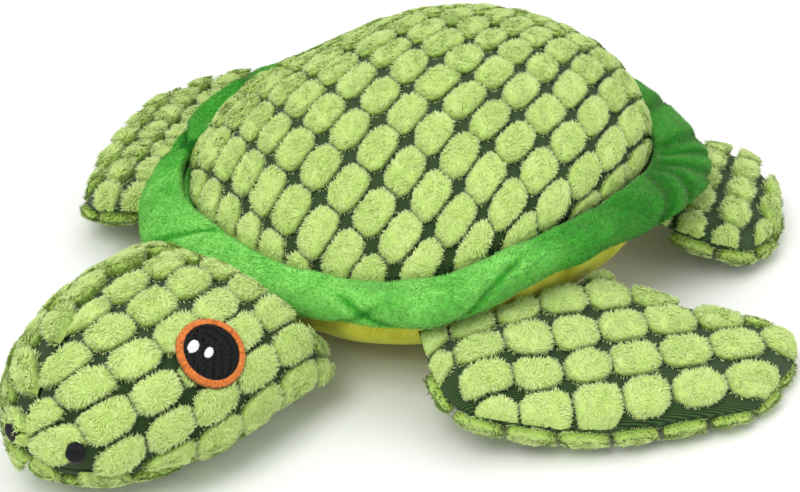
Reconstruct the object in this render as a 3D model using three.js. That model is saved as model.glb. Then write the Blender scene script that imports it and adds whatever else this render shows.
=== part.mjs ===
// Plush sea turtle dog toy. Millimetres, +Z up, nose toward -Y, the turtle's left side at +X, resting on z = 0.
// Built the way the real toy is sewn: cut fabric panels, each with its pile, around separate lots of stuffing,
// a stuffed rim tube round the shell, embroidered eyes and nostrils, and a squeaker in a pocket of the body stuffing.
// The head and the four flippers are sewn on at seams under the rim, and swing there.
import * as THREE from 'three';
import { mergeVertices } from 'three/addons/utils/BufferGeometryUtils.js';

// ---- driving dimensions (mm, degrees) ----
const X_SHIFT = -2.805, Y_SHIFT = 31.18;  // moves the sewn toy so that its box is centred on the origin
const FABRIC = 3.0;                    // backing and pile of the plush, pressed
const GAP = 0.35;                      // between a fabric panel and what lies inside it
const SHELL_TOP = 87;                  // height of the dome
const SHELL_TOP_BACK = 28;             // how far the dome's top lies behind the middle
const SKIRT = 4.0;                     // shell fabric tucked down behind the rim
const SPLIT_Z = 36.5;                  // level where the upper and the lower stuffing meet
// half widths of the dome at its foot by angle from the nose, and the height of that foot and of the rim, which the
// toy's stuffing holds higher on its left
const FOOT_R = { at: [0, 15, 30, 45, 60, 75, 90, 110, 130, 155, 180], v: [83, 84, 87.5, 88, 85.5, 83.8, 84, 88, 94.5, 96.5, 95] };
const Z_AT = [-180, -140, -110, -80, -55, -32, -12, 8, 28, 48, 68, 88, 108, 140];
const FOOT_Z = [53, 51, 47.8, 47.6, 45.8, 43, 43, 43.6, 46.2, 49.8, 56, 58.4, 56.4, 51.2];
const RIM_Z = [47, 45.5, 43, 42, 40.5, 38.8, 38.6, 39.5, 42.4, 45.5, 50.2, 52, 50.2, 45.5];
// the stuffed rim: reach, half thickness and tilt, by angle from the nose toward the turtle's left
const RIM_AT = [-180, -150, -125, -100, -75, -55, -38, -24, -10, 5, 20, 35, 48, 62, 76, 90, 103, 115, 128, 142, 160];
const RIM_REACH = [118, 120, 119, 110, 103.5, 102, 107.5, 112, 108, 102, 101, 105, 105.5, 100.5, 98, 98.5, 104.5, 112, 119, 122.5, 119];
const RIM_HALF = [6.8, 6.6, 6.3, 5.8, 6.3, 6.7, 7.8, 8.5, 8.6, 8.5, 8.3, 8, 8.5, 8.3, 8.2, 7.9, 7.4, 6.8, 6.8, 6.6, 6.8];
const RIM_TILT = [28, 24, 18, 20, 19, 21, 27, 30, 34, 38, 38, 40, 34, 29, 27, 24, 24, 18, 13.5, 18, 25];
const BELLY_OUT = 5;                   // belly seam beyond the dome's foot
// head: stations from the neck seam to the nose
const HEAD = {
  y0: -94, y1: -204.5, turn: 4.5, e0: 0.66, en: 2.6, n: 2.1,
  t: [0, 0.035, 0.062, 0.08, 0.11, 0.186, 0.274, 0.407, 0.54, 0.673, 0.788, 0.894, 1],
  w: [44.5, 46.5, 47.5, 48, 48.3, 48, 47.8, 47.5, 46, 41.2, 36, 31.6, 28.3],
  top: [28, 31, 37, 47, 53, 57.8, 59.4, 60.5, 59, 55.8, 51.8, 46.6, 41],
  mid: [19, 18.5, 18.5, 19, 20.5, 22, 22.6, 22.8, 23, 23.6, 24.6, 24, 21.5],
  bot: [10, 7, 5, 4, 3, 2, 1, 0, 0, 0.2, 0.6, 1.6, 4],
};
const NECK_CURVE = { x: [-60, -45, -30, -18, -5, 9, 20, 34, 48, 60], y: [13.5, 1.2, -4.2, -6.2, -5.6, -3.8, -2.6, 0.2, 2.0, 5.0] };
const EYE_AT = [33.7, -146.25], EYE_R = 12.6, PUPIL_R = 10.3;   // where the eye sits seen from above, ring and pupil radius
const NOSTRIL_AT = { left: [17.4, 29.8], right: [-8.8, 29.2] }, NOSTRIL_R = 3.2;   // place across and height of the nostrils
// flippers: leading and trailing edge, middle height and half thickness from the body seam to the tip
const FRONT = {
  from: 46, to: 103, t: [0, 0.18, 0.4, 0.62, 0.82, 1],
  lx: [0, 96.3, 113.5, 136, 156.2, 170], ly: [0, -85.6, -74, -53.2, -22, 2.5],
  rx: [0, 99, 115.4, 133.4, 150.5, 162.2], ry: [0, 18.4, 30.9, 42.5, 48.6, 36],
  z: [25, 19.5, 13.7, 11.6, 10, 7.4], h: [6, 10.5, 13, 11.5, 9.5, 7],
};
const FRONT_LEFT = { ...FRONT, from: 41, to: 97, lx: [0, 94.4, 113, 136, 156.2, 170], ly: [0, -87.6, -74.6, -53.2, -22, 2.5],
  z: [31.5, 22.5, 15, 11.6, 10, 7.4], h: [5.5, 13, 13.5, 12, 9.5, 7] };   // sewn on farther forward, and higher under the raised rim
const REAR = {
  from: 122, to: 160, t: [0, 0.35, 0.7, 1],
  lx: [0, 104, 111, 109], ly: [0, 66.5, 81, 105.6], rx: [0, 52, 66.7, 94], ry: [0, 128, 141.5, 132.9],
  z: [26, 18, 12, 9], h: [6.5, 12, 12, 9],
};
const SEAM_GAP = 2.0;                  // between a flipper and the belly panel at their seam
const SWEEP_RIGHT = 8;                 // the right front flipper lies swept back a little more
const SQUEAKER_R = 19, SQUEAKER_H = 17, SQUEAKER_Z = 12;

// ---- small helpers ----
const D = Math.PI / 180;
function pchip(xs, ys) {               // monotone cubic through the table
  const n = xs.length, h = [], d = [], m = new Array(n).fill(0);
  for (let i = 0; i < n - 1; i++) { h.push(xs[i + 1] - xs[i]); d.push((ys[i + 1] - ys[i]) / h[i]); }
  for (let i = 1; i < n - 1; i++) {
    if (d[i - 1] * d[i] > 0) {
      const a = 2 * h[i] + h[i - 1], b = h[i] + 2 * h[i - 1];
      m[i] = (a + b) / (a / d[i - 1] + b / d[i]);
    }
  }
  const end = (h0, h1, d0, d1) => {
    let s = ((2 * h0 + h1) * d0 - h0 * d1) / (h0 + h1);
    if (s * d0 <= 0) s = 0; else if (d0 * d1 <= 0 && Math.abs(s) > 3 * Math.abs(d0)) s = 3 * d0;
    return s;
  };
  if (n > 2) { m[0] = end(h[0], h[1], d[0], d[1]); m[n - 1] = end(h[n - 2], h[n - 3], d[n - 2], d[n - 3]); } else { m[0] = m[1] = d[0]; }
  return (x) => {
    const q = Math.min(Math.max(x, xs[0]), xs[n - 1]);
    let i = 0; while (i < n - 2 && q > xs[i + 1]) i++;
    const t = (q - xs[i]) / h[i], t2 = t * t, t3 = t2 * t;
    return (2 * t3 - 3 * t2 + 1) * ys[i] + (t3 - 2 * t2 + t) * h[i] * m[i] + (3 * t2 - 2 * t3) * ys[i + 1] + (t3 - t2) * h[i] * m[i + 1];
  };
}
function around(at, v) {               // the same, periodic over the full turn
  const n = at.length;
  const f = pchip([...at.slice(n - 3).map((a) => a - 360), ...at, ...at.slice(0, 3).map((a) => a + 360)],
    [...v.slice(n - 3), ...v, ...v.slice(0, 3)]);
  return (th) => f((((th / D + 180) % 360) + 360) % 360 - 180);
}
function mirrored({ at, v }) {
  const a = [], b = [];
  for (let i = at.length - 1; i >= 0; i--) if (at[i] > 0 && at[i] < 180) { a.push(-at[i]); b.push(v[i]); }
  return around([...a, ...at], [...b, ...v]);
}
const footR = mirrored(FOOT_R), footZ = around(Z_AT, FOOT_Z), rimZ = around(Z_AT, RIM_Z);
const reach = around(RIM_AT, RIM_REACH), rimHalf = around(RIM_AT, RIM_HALF), rimTilt = around(RIM_AT, RIM_TILT);
const polar = (r, th, z) => new THREE.Vector3(r * Math.sin(th), -r * Math.cos(th), z);
const pw = (x, p) => Math.sign(x) * Math.pow(Math.abs(x), p);

// closes a list of quads/triangles (given as points) into one mesh geometry with its faces pointing out
function closed(tris) {
  const pos = new Float32Array(tris.length * 9);
  tris.forEach((t, i) => t.forEach((p, j) => p.toArray(pos, i * 9 + j * 3)));
  let g = new THREE.BufferGeometry();
  g.setAttribute('position', new THREE.BufferAttribute(pos, 3));
  g = mergeVertices(g, 1e-4);
  const P = g.attributes.position, idx = g.index.array, keep = [];
  for (let i = 0; i < idx.length; i += 3) {
    const [a, b, c] = [idx[i], idx[i + 1], idx[i + 2]];
    if (a !== b && b !== c && a !== c) keep.push(a, b, c);
  }
  let vol = 0; const A = new THREE.Vector3(), B = new THREE.Vector3(), C = new THREE.Vector3();
  for (let i = 0; i < keep.length; i += 3) {
    A.fromBufferAttribute(P, keep[i]); B.fromBufferAttribute(P, keep[i + 1]); C.fromBufferAttribute(P, keep[i + 2]);
    vol += A.dot(B.cross(C));
  }
  if (vol < 0) for (let i = 0; i < keep.length; i += 3) [keep[i + 1], keep[i + 2]] = [keep[i + 2], keep[i + 1]];
  g.setIndex(keep); g.computeVertexNormals();
  return g;
}
// surface patch f(i, j), i in 0..nu, j in 0..nv, as triangles; flip turns it over
function patch(f, nu, nv, flip = false) {
  const out = [];
  for (let i = 0; i < nu; i++) for (let j = 0; j < nv; j++) {
    const a = f(i, j), b = f(i + 1, j), c = f(i + 1, j + 1), d = f(i, j + 1);
    out.push(...(flip ? [[a, c, b], [a, d, c]] : [[a, b, c], [a, c, d]]));
  }
  return out;
}
// solid between two patches with the same grid; wrapU joins i = nu to i = 0
function slab(outer, inner, nu, nv, wrapU = false) {
  const w = (f) => (i, j) => f(wrapU ? i % nu : i, j);
  const o = w(outer), n = w(inner), out = [...patch(o, nu, nv), ...patch(n, nu, nv, true)];
  for (let i = 0; i < nu; i++) for (const [j, flip] of [[0, false], [nv, true]]) {
    const a = o(i, j), b = o(i + 1, j), c = n(i + 1, j), d = n(i, j);
    out.push(...(flip ? [[a, b, c], [a, c, d]] : [[a, c, b], [a, d, c]]));
  }
  if (!wrapU) for (let j = 0; j < nv; j++) for (const [i, flip] of [[0, true], [nu, false]]) {
    const a = o(i, j), b = o(i, j + 1), c = n(i, j + 1), d = n(i, j);
    out.push(...(flip ? [[a, b, c], [a, c, d]] : [[a, c, b], [a, d, c]]));
  }
  return out;
}
function offsetPatch(S, du, dv, dist) { // S(u, v) moved inward along its normal
  return (u, v) => {
    const a = S(u + du, v).sub(S(u - du, v)), b = S(u, v + dv).sub(S(u, v - dv)), n = a.cross(b);
    if (n.lengthSq() < 1e-12) return S(u, v);
    return S(u, v).addScaledVector(n.normalize(), dist);
  };
}

const root = new THREE.Group();
const looks = {
  tuft: { color: 0xbfdc74, roughness: 0.95 }, tuftUnder: { color: 0xb0cf68, roughness: 0.95 },
  rim: { color: 0x4fbf4a, roughness: 0.9 }, belly: { color: 0xc2b23c, roughness: 0.92 },
  fill: { color: 0xf2f2ee, roughness: 1.0 }, orange: { color: 0xf08a2c, roughness: 0.6 },
  black: { color: 0x161616, roughness: 0.65 }, white: { color: 0xf4f4f4, roughness: 0.6 },
  squeak: { color: 0xe9eef0, roughness: 0.4 }, reed: { color: 0xd8dde0, roughness: 0.35 },
};
function add(name, tris, look, parent = root) {
  const m = new THREE.Mesh(closed(tris), new THREE.MeshStandardMaterial({ metalness: 0, ...looks[look] }));
  m.name = name; parent.add(m); return m;
}

// ---- body: shell cover, belly panel, two lots of stuffing ----
function dome(th, t, off = 0) {        // t 0 at the top, 1 at the foot
  const m = 1.77 - 0.2 * Math.cos(th) + 0.13 * Math.cos(2 * th), a = Math.min(Math.max(t, 0), 1) * Math.PI / 2;
  const rho = Math.pow(Math.sin(a), 2 / m), ze = Math.pow(Math.max(Math.cos(a), 0), 2 / m);
  const k = 1 - off / footR(th), top = SHELL_TOP - off;
  const p = polar(footR(th) * k * rho, th, footZ(th) * (1 - ze) + top * ze);
  p.y += SHELL_TOP_BACK * ze; return p;
}
const NT = 36, NS = 7, domeT = [0, 0.16, 0.32, 0.48, 0.64, 0.79, 0.91, 1];
const ang = (i, n) => (i % n) / n * 2 * Math.PI;
const shellSurf = (off) => (i, j) => {
  const th = ang(i, NT);
  if (j === 0) return new THREE.Vector3(0, SHELL_TOP_BACK, SHELL_TOP - off);
  if (j <= NS) return dome(th, domeT[j], off);
  const p = dome(th, 1, off); p.z -= SKIRT; return p;
};
add('shell_cover', slab(shellSurf(0), shellSurf(FABRIC), NT, NS + 1, true), 'tuft');

const bellyTopZ = (th) => rimZ(th) - rimHalf(th) - 1.6;
function belly(th, t, off = 0) {       // t 0 underneath, 1 at the rim seam
  const a = t * Math.PI / 2, rho = Math.pow(Math.sin(a), 0.93), ze = Math.pow(Math.max(Math.cos(a), 0), 0.93);
  const k = Math.max((1 - ze - 0.05) / 0.95, 0), zt = bellyTopZ(th);
  return polar((footR(th) + BELLY_OUT - off) * rho, th, off + (zt - off) * k);
}
const NB = 7, bellyT = [0, 0.19, 0.36, 0.52, 0.67, 0.8, 0.91, 1];
const bellySurf = (off) => (i, j) => (j === 0 ? new THREE.Vector3(0, 0, off) : belly(ang(i, NT), bellyT[j], off));
add('belly_panel', slab(bellySurf(0), bellySurf(FABRIC), NT, NB, true), 'belly');

{ // upper stuffing fills the dome, its flat face down
  const off = FABRIC + GAP, rows = NS + 3;
  const S = (i, j) => {
    const th = ang(i, NT);
    if (j <= NS) return shellSurf(off)(i, j);
    const p = dome(th, 1, off);
    if (j === NS + 1) { p.z = SPLIT_Z + 0.2; return p; }
    return new THREE.Vector3(0, 0, SPLIT_Z + 0.2);
  };
  add('shell_stuffing', patch(S, NT, rows - 1), 'fill');
}
{ // lower stuffing fills the belly, with a pocket for the squeaker in its top face
  const off = FABRIC + GAP, PR = SQUEAKER_R + 0.5, PZ = SQUEAKER_Z - 0.4;
  const rows = [];
  for (let j = 0; j <= NB; j++) rows.push((i) => bellySurf(off)(i, j));
  rows.push((i) => { const th = ang(i, NT), z = Math.min(bellyTopZ(th) + 1, SPLIT_Z - 1.2); return polar(footR(th) + BELLY_OUT - off - 4.5, th, z); });
  rows.push((i) => polar(footR(ang(i, NT)) - off - 1.5, ang(i, NT), SPLIT_Z - 0.2));
  rows.push((i) => polar(PR, ang(i, NT), SPLIT_Z - 0.2));
  rows.push((i) => polar(PR, ang(i, NT), PZ));
  rows.push(() => new THREE.Vector3(0, 0, PZ));
  add('belly_stuffing', patch((i, j) => rows[j](i), NT, rows.length - 1), 'fill');
}
{ // squeaker: a blow moulded bellows case and the reed set in its neck
  const R = SQUEAKER_R, z0 = SQUEAKER_Z, prof = [[0, 0], [R - 2, 0], [R, 2.5], [R, 5], [R - 2.5, 7], [R, 9], [R, 12], [R - 3, 14.5], [7, 14.5], [7, SQUEAKER_H], [4.2, SQUEAKER_H], [4.2, 11], [0, 11]];
  const N = 20;
  const S = (i, j) => new THREE.Vector3(prof[j][0] * Math.cos(ang(i, N)), prof[j][0] * Math.sin(ang(i, N)), z0 + prof[j][1]);
  add('squeaker_body', patch(S, N, prof.length - 1), 'squeak');
  const rp = [[0, 11.3], [3.9, 11.3], [3.9, SQUEAKER_H + 1.4], [1.2, SQUEAKER_H + 1.4], [1.2, 14], [0, 14]];
  add('squeaker_reed', patch((i, j) => new THREE.Vector3(rp[j][0] * Math.cos(ang(i, 16)), rp[j][0] * Math.sin(ang(i, 16)), z0 + rp[j][1]), 16, rp.length - 1), 'reed');
}

// ---- rim: a fabric tube, open only along its inner seam, and the stuffing inside it ----
function rim(th, u, off = 0) {         // u 0 points outward, pi toward the body
  const ri = footR(th) + 0.6, a = (reach(th) - ri) / 2 - off, b = rimHalf(th) - off, al = rimTilt(th) * D;
  const x = a * Math.cos(u), y = b * Math.sin(u);
  return polar((reach(th) + ri) / 2 + x * Math.cos(al) + y * Math.sin(al), th, rimZ(th) - x * Math.sin(al) + y * Math.cos(al));
}
{
  const NR = 48, M = 10, SLIT = 14 * D;
  const u = (j) => -Math.PI + SLIT + j / M * (2 * Math.PI - 2 * SLIT);
  const th = (i) => ang(i, NR);
  add('rim_cover', slab((i, j) => rim(th(i), u(j)), (i, j) => rim(th(i), u(j), 2.2), NR, M, true), 'rim');
  const T = [];
  for (let i = 0; i < NR; i++) for (let j = 0; j < M; j++) {
    const q = (a, b) => rim(th(a % NR), (b % M) / M * 2 * Math.PI, 2.3 + GAP);
    T.push([q(i, j), q(i + 1, j), q(i + 1, j + 1)], [q(i, j), q(i + 1, j + 1), q(i, j + 1)]);
  }
  add('rim_stuffing', T, 'fill');
}

// ---- head ----
const hw = pchip(HEAD.t, HEAD.w), hTop = pchip(HEAD.t, HEAD.top), hMid = pchip(HEAD.t, HEAD.mid), hBot = pchip(HEAD.t, HEAD.bot);
const turn = HEAD.turn * D, LEN = HEAD.y1 - HEAD.y0;
function station(t) {
  const q = Math.min(Math.max((t - HEAD.e0) / (1 - HEAD.e0), 0), 1), e = Math.sqrt(Math.max(1 - Math.pow(q, HEAD.en), 0));
  return { w: hw(t) * e, zc: hMid(t), up: (hTop(t) - hMid(t)) * e, dn: (hMid(t) - hBot(t)) * e };
}
const neckCurve = pchip(NECK_CURVE.x, NECK_CURVE.y);
function bend(t, x) {                  // the neck end curves round the front of the rim
  let k = Math.min(Math.max(1 - t / 0.3, 0), 1); k = k * k * (3 - 2 * k);
  return k * neckCurve(x);
}
function toWorld(x, yy, z) {
  return new THREE.Vector3(x * Math.cos(turn) - yy * Math.sin(turn), HEAD.y0 + x * Math.sin(turn) + yy * Math.cos(turn), z);
}
function head(t, u, off = 0) {
  const s = station(t), k = 2 / HEAD.n, w = Math.max(s.w - off, 0.5), h = Math.max((Math.sin(u) > 0 ? s.up : s.dn) - off, 0.5);
  const x = w * pw(Math.cos(u), k);
  return toWorld(x, LEN * t + bend(t, x), s.zc + h * pw(Math.sin(u), k));
}
const headT = [0.004, 0.05, 0.085, 0.125, 0.22, 0.36, 0.52, 0.67, 0.79, 0.88, 0.945, 0.985];
const TOP_SEAM = 110 * D, CHIN = [242 * D, 338 * D];       // the head lies rolled to its right, so the top seam and the chin panel are off the middle
const RIGHT_EYE = [0.489, 181 * D];    // the other eye, as far past the top seam as the left one is before it
function headPanel(name, u0, u1, nu) {
  const g = 0.35 / 45;
  const U = (i) => u0 + g + (u1 - u0 - 2 * g) * i / nu;
  const tin = (j) => headT[j] - (j === headT.length - 1 ? 0.0 : 0);
  add(name, slab((i, j) => head(tin(j), U(i)), (i, j) => head(tin(j), U(i), FABRIC), nu, headT.length - 1), 'tuft');
}
headPanel('head_left_panel', CHIN[1] - 2 * Math.PI, TOP_SEAM, 9);
headPanel('head_right_panel', TOP_SEAM, CHIN[0], 9);
headPanel('chin_panel', CHIN[0], CHIN[1], 7);
{
  const off = FABRIC + 1.3, N = 18, ts = headT.slice(0, -1).map((t, i) => (i === 0 ? 0.012 : t));
  const rows = [() => { const s = station(ts[0]); return toWorld(0, LEN * ts[0], s.zc); }, ...ts.map((t) => (i) => head(t, ang(i, N), off)),
    () => { const t = ts[ts.length - 1], s = station(t); return toWorld(0, LEN * t, s.zc); }];
  add('head_stuffing', patch((i, j) => rows[j](i), N, rows.length - 1), 'fill');
}
// a little pad that follows the head's surface: outline (a, b) in the plane of normal n at c
function headF(p) {
  const x0 = p.x, y0 = p.y - HEAD.y0, x = x0 * Math.cos(turn) + y0 * Math.sin(turn), yy = -x0 * Math.sin(turn) + y0 * Math.cos(turn);
  let t = yy / LEN; for (let i = 0; i < 6; i++) t = (yy - bend(t, x)) / LEN;
  if (t < 0 || t > 1) return 1;
  const s = station(Math.min(t, 0.9999));
  return Math.pow(Math.abs(x) / Math.max(s.w, 1e-3), HEAD.n) + Math.pow(Math.abs(p.z - s.zc) / Math.max(p.z > s.zc ? s.up : s.dn, 1e-3), HEAD.n) - 1;
}
function hit(o, d, from, to) {         // first point on the head's surface along a line
  let a = from; const n = 240;
  for (let i = 1; i <= n; i++) {
    const b = from + (to - from) * i / n;
    if (headF(o.clone().addScaledVector(d, b)) < 0) {
      let lo = a, hi = b;
      for (let k = 0; k < 30; k++) { const m = (lo + hi) / 2; if (headF(o.clone().addScaledVector(d, m)) < 0) hi = m; else lo = m; }
      return o.clone().addScaledVector(d, hi);
    }
    a = b;
  }
  throw new Error('no hit');
}
function normalAt(p) {
  const e = 0.05, g = ['x', 'y', 'z'].map((k) => { const a = p.clone(), b = p.clone(); a[k] += e; b[k] -= e; return headF(a) - headF(b); });
  return new THREE.Vector3(...g).normalize();
}
function pad(name, c, n, rings, segs, low, high, look, centre = null, axis = null) {
  // rings: radii from inside to outside; the first may be 0; low and high: heights above the surface
  const A = axis ? axis.clone().sub(n.clone().multiplyScalar(axis.dot(n))).normalize() : new THREE.Vector3(0, -1, 0).sub(n.clone().multiplyScalar(-n.y)).normalize();
  const B = n.clone().cross(A), o = centre || [0, 0];
  const at = (r, i, h) => {
    const f = ang(i, segs), q = c.clone().addScaledVector(A, o[0] + r * Math.cos(f)).addScaledVector(B, o[1] + r * Math.sin(f)).addScaledVector(n, 12);
    return hit(q, n.clone().negate(), 0, 30).addScaledVector(n, h);
  };
  const T = [], k = rings.length - 1, rim0 = 0.45 * (high - low);
  const hi = (r) => (r === k || (r === 0 && rings[0] > 0) ? high - rim0 : high);
  const top = (i, j) => at(rings[j], i % segs, hi(j)), bot = (i, j) => at(rings[j], i % segs, low);
  T.push(...patch(top, segs, k), ...patch(bot, segs, k, true));
  const wall = (j, flip) => { for (let i = 0; i < segs; i++) { const a = top(i, j), b = top(i + 1, j), d = bot(i, j), e = bot(i + 1, j); T.push(...(flip ? [[a, e, b], [a, d, e]] : [[a, b, e], [a, e, d]])); } };
  wall(k, false); if (rings[0] > 0) wall(0, true);
  add(name, T, look);
}
for (const [side, sx] of [['left', 1], ['right', -1]]) {
  const up = new THREE.Vector3(0, 0, -1);
  const c = sx > 0 ? hit(toWorld(EYE_AT[0], EYE_AT[1] - HEAD.y0, 90), up, 0, 90) : head(...RIGHT_EYE), n = normalAt(c);
  const ax = new THREE.Vector3(-sx * 0.25, -1, 0);
  pad(`${side}_eye_ring`, c, n, [PUPIL_R + 0.3, (PUPIL_R + EYE_R) / 2, EYE_R], 22, 0.4, 2.2, 'orange', null, ax);
  pad(`${side}_eye_pupil`, c, n, [0, PUPIL_R * 0.55, PUPIL_R], 22, 0.4, 1.5, 'black', null, ax);
  pad(`${side}_eye_highlight_big`, c, n, [0, 2.3], 10, 1.85, 2.5, 'white', [5.75, -sx * 3.7], ax);
  pad(`${side}_eye_highlight_small`, c, n, [0, 1.8], 10, 1.85, 2.4, 'white', [1.55, sx * 0.2], ax);
  const dn = new THREE.Vector3(-Math.sin(turn), Math.cos(turn), 0);
  const cn = hit(toWorld(NOSTRIL_AT[side][0], LEN - 20, NOSTRIL_AT[side][1]), dn, 0, 60);
  pad(`${side}_nostril`, cn, normalAt(cn), [0, NOSTRIL_R], 12, 0.4, 1.3, 'black', null, new THREE.Vector3(0, 0, 1));
}

// ---- flippers: top and bottom panel sewn round the edge, stuffing between ----
function seamXY(th) { const r = footR(th) + BELLY_OUT + SEAM_GAP; return [r * Math.sin(th), -r * Math.cos(th)]; }
function flipper(F, sweep) {
  const a0 = seamXY(F.from * D), a1 = seamXY(F.to * D);
  const fx = (k, v0) => pchip(F.t, [v0, ...F[k].slice(1)]);
  const lx = fx('lx', a0[0]), ly = fx('ly', a0[1]), rx = fx('rx', a1[0]), ry = fx('ry', a1[1]), z = pchip(F.t, F.z), h = pchip(F.t, F.h);
  return (s, v) => {
    let X = lx(s) * (1 - v) + rx(s) * v, Y = ly(s) * (1 - v) + ry(s) * v;
    const [ax, ay] = seamXY((F.from + (F.to - F.from) * v) * D), k = Math.max(1 - s / 0.4, 0) ** 2;
    X += k * (ax - (a0[0] * (1 - v) + a1[0] * v)); Y += k * (ay - (a0[1] * (1 - v) + a1[1] * v));
    if (sweep) {
      let q = Math.min(s / 0.35, 1); q = q * q * (3 - 2 * q);
      const a = sweep * D * q, dx = X - 78, dy = Y + 12;
      X = 78 + dx * Math.cos(a) - dy * Math.sin(a); Y = -12 + dx * Math.sin(a) + dy * Math.cos(a); X -= 0.035 * q * (X - 90);
    }
    const e = Math.min((1 - s) / 0.22, 1), q = Math.abs(2 * v - 1);
    const pf = Math.pow(Math.max(1 - Math.pow(q, 2.6), 0), 0.55) * Math.sqrt(Math.max(1 - (1 - e) ** 2, 0));
    return { X, Y, z: z(s), h: h(s) * pf };
  };
}
function makeFlipper(prefix, F, side, sweep, ns, nv) {
  const f = flipper(F, sweep), EDGE = 1.0, TW = 2.2;
  const S = (i) => { const q = i / ns; return 1 - Math.pow(1 - q, 1.35); }, V = (j) => { const q = j / nv * 2 - 1; return 0.5 + 0.5 * Math.sign(q) * Math.pow(Math.abs(q), 0.8); };
  const P = (s, v, g) => { const q = f(s, v); return new THREE.Vector3(q.X * side, q.Y, g(q)); };
  const top = (i, j) => P(S(i), V(j), (q) => q.z + Math.max(q.h, EDGE + 0.2));
  const topIn = (i, j) => P(S(i), V(j), (q) => q.z + 0.2 + Math.max(q.h - 0.2 - TW, 0));
  const bot = (i, j) => P(S(i), V(j), (q) => Math.max(q.z - Math.max(q.h, EDGE + 0.2), 0));
  const botIn = (i, j) => P(S(i), V(j), (q) => q.z - 0.2 - Math.max(q.h - 0.2 - TW, 0));
  add(`${prefix}_top_panel`, slab(top, topIn, ns, nv), 'tuft');
  add(`${prefix}_bottom_panel`, slab(bot, botIn, ns, nv), 'tuftUnder');
  const m = 6, s0 = 0.06, s1 = 0.86, v0 = 0.12, v1 = 0.88;
  const g = (sg) => (i, j) => P(s0 + (s1 - s0) * i / m, v0 + (v1 - v0) * j / m, (q) => q.z + sg * Math.max(q.h - TW - 0.9 - GAP, 0.01));
  add(`${prefix}_stuffing`, slab(g(1), g(-1), m, m), 'fill');
}
makeFlipper('front_left_flipper', FRONT_LEFT, 1, 0, 9, 8);
makeFlipper('front_right_flipper', FRONT, -1, SWEEP_RIGHT, 9, 8);
makeFlipper('rear_left_flipper', REAR, 1, 0, 7, 7);
makeFlipper('rear_right_flipper', REAR, -1, 0, 7, 7);

root.position.set(X_SHIFT, Y_SHIFT, 0);
root.updateMatrixWorld(true);
export default root;
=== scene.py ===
import math
import bpy
import numpy as np
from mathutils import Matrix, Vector


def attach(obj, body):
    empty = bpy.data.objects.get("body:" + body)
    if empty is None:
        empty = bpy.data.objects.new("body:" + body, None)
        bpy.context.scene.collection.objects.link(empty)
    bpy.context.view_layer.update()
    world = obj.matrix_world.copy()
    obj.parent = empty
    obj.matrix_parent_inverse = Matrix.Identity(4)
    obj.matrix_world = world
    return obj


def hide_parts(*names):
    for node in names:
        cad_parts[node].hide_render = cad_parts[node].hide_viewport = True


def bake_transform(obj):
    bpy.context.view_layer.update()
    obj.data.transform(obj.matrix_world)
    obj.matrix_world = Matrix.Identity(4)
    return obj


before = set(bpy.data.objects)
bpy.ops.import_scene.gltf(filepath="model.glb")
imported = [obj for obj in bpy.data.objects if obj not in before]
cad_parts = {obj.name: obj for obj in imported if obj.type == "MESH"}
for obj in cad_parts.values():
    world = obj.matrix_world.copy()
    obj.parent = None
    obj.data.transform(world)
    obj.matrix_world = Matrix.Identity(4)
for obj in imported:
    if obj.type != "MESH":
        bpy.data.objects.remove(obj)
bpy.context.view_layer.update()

PI = math.pi
D2R = PI / 180

# ------------------------------------------------------------------------------------------------
# The toy's shape, in millimetres, nose toward -Y, left side at +X, before it is centred on its box
# ------------------------------------------------------------------------------------------------
X_SHIFT, Y_SHIFT = -2.805, 31.18
PILE = 4.2                        # how far the tufts stand above the woven backing
SHELL_TOP, SHELL_TOP_BACK, BELLY_OUT, SEAM_GAP = 87.0, 28.0, 5.0, 2.0
FOOT_R = ([0, 15, 30, 45, 60, 75, 90, 110, 130, 155, 180], [83, 84, 87.5, 88, 85.5, 83.8, 84, 88, 94.5, 96.5, 95])
Z_AT = [-180, -140, -110, -80, -55, -32, -12, 8, 28, 48, 68, 88, 108, 140]
FOOT_Z = [53, 51, 47.8, 47.6, 45.8, 43, 43, 43.6, 46.2, 49.8, 56, 58.4, 56.4, 51.2]
RIM_Z = [47, 45.5, 43, 42, 40.5, 38.8, 38.6, 39.5, 42.4, 45.5, 50.2, 52, 50.2, 45.5]
RIM_AT = [-180, -150, -125, -100, -75, -55, -38, -24, -10, 5, 20, 35, 48, 62, 76, 90, 103, 115, 128, 142, 160]
RIM_REACH = [118, 120, 119, 110, 103.5, 102, 107.5, 112, 108, 102, 101, 105, 105.5, 100.5, 98, 98.5, 104.5, 112, 119, 122.5, 119]
RIM_HALF = [6.8, 6.6, 6.3, 5.8, 6.3, 6.7, 7.8, 8.5, 8.6, 8.5, 8.3, 8, 8.5, 8.3, 8.2, 7.9, 7.4, 6.8, 6.8, 6.6, 6.8]
RIM_TILT = [28, 24, 18, 20, 19, 21, 27, 30, 34, 38, 38, 40, 34, 29, 27, 24, 24, 18, 13.5, 18, 25]
HEAD = dict(y0=-94.0, y1=-204.5, turn=4.5, e0=0.66, en=2.6, n=2.1,
            t=[0, .035, .062, .08, .11, .186, .274, .407, .54, .673, .788, .894, 1],
            w=[44.5, 46.5, 47.5, 48, 48.3, 48, 47.8, 47.5, 46, 41.2, 36, 31.6, 28.3],
            top=[28, 31, 37, 47, 53, 57.8, 59.4, 60.5, 59, 55.8, 51.8, 46.6, 41],
            mid=[19, 18.5, 18.5, 19, 20.5, 22, 22.6, 22.8, 23, 23.6, 24.6, 24, 21.5],
            bot=[10, 7, 5, 4, 3, 2, 1, 0, 0, 0.2, 0.6, 1.6, 4])
NECK_X = [-60, -45, -30, -18, -5, 9, 20, 34, 48, 60]
NECK_Y = [13.5, 1.2, -4.2, -6.2, -5.6, -3.8, -2.6, 0.2, 2.0, 5.0]
EYE_AT, EYE_R, PUPIL_R = (33.7, -146.25), 12.6, 10.3
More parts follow.
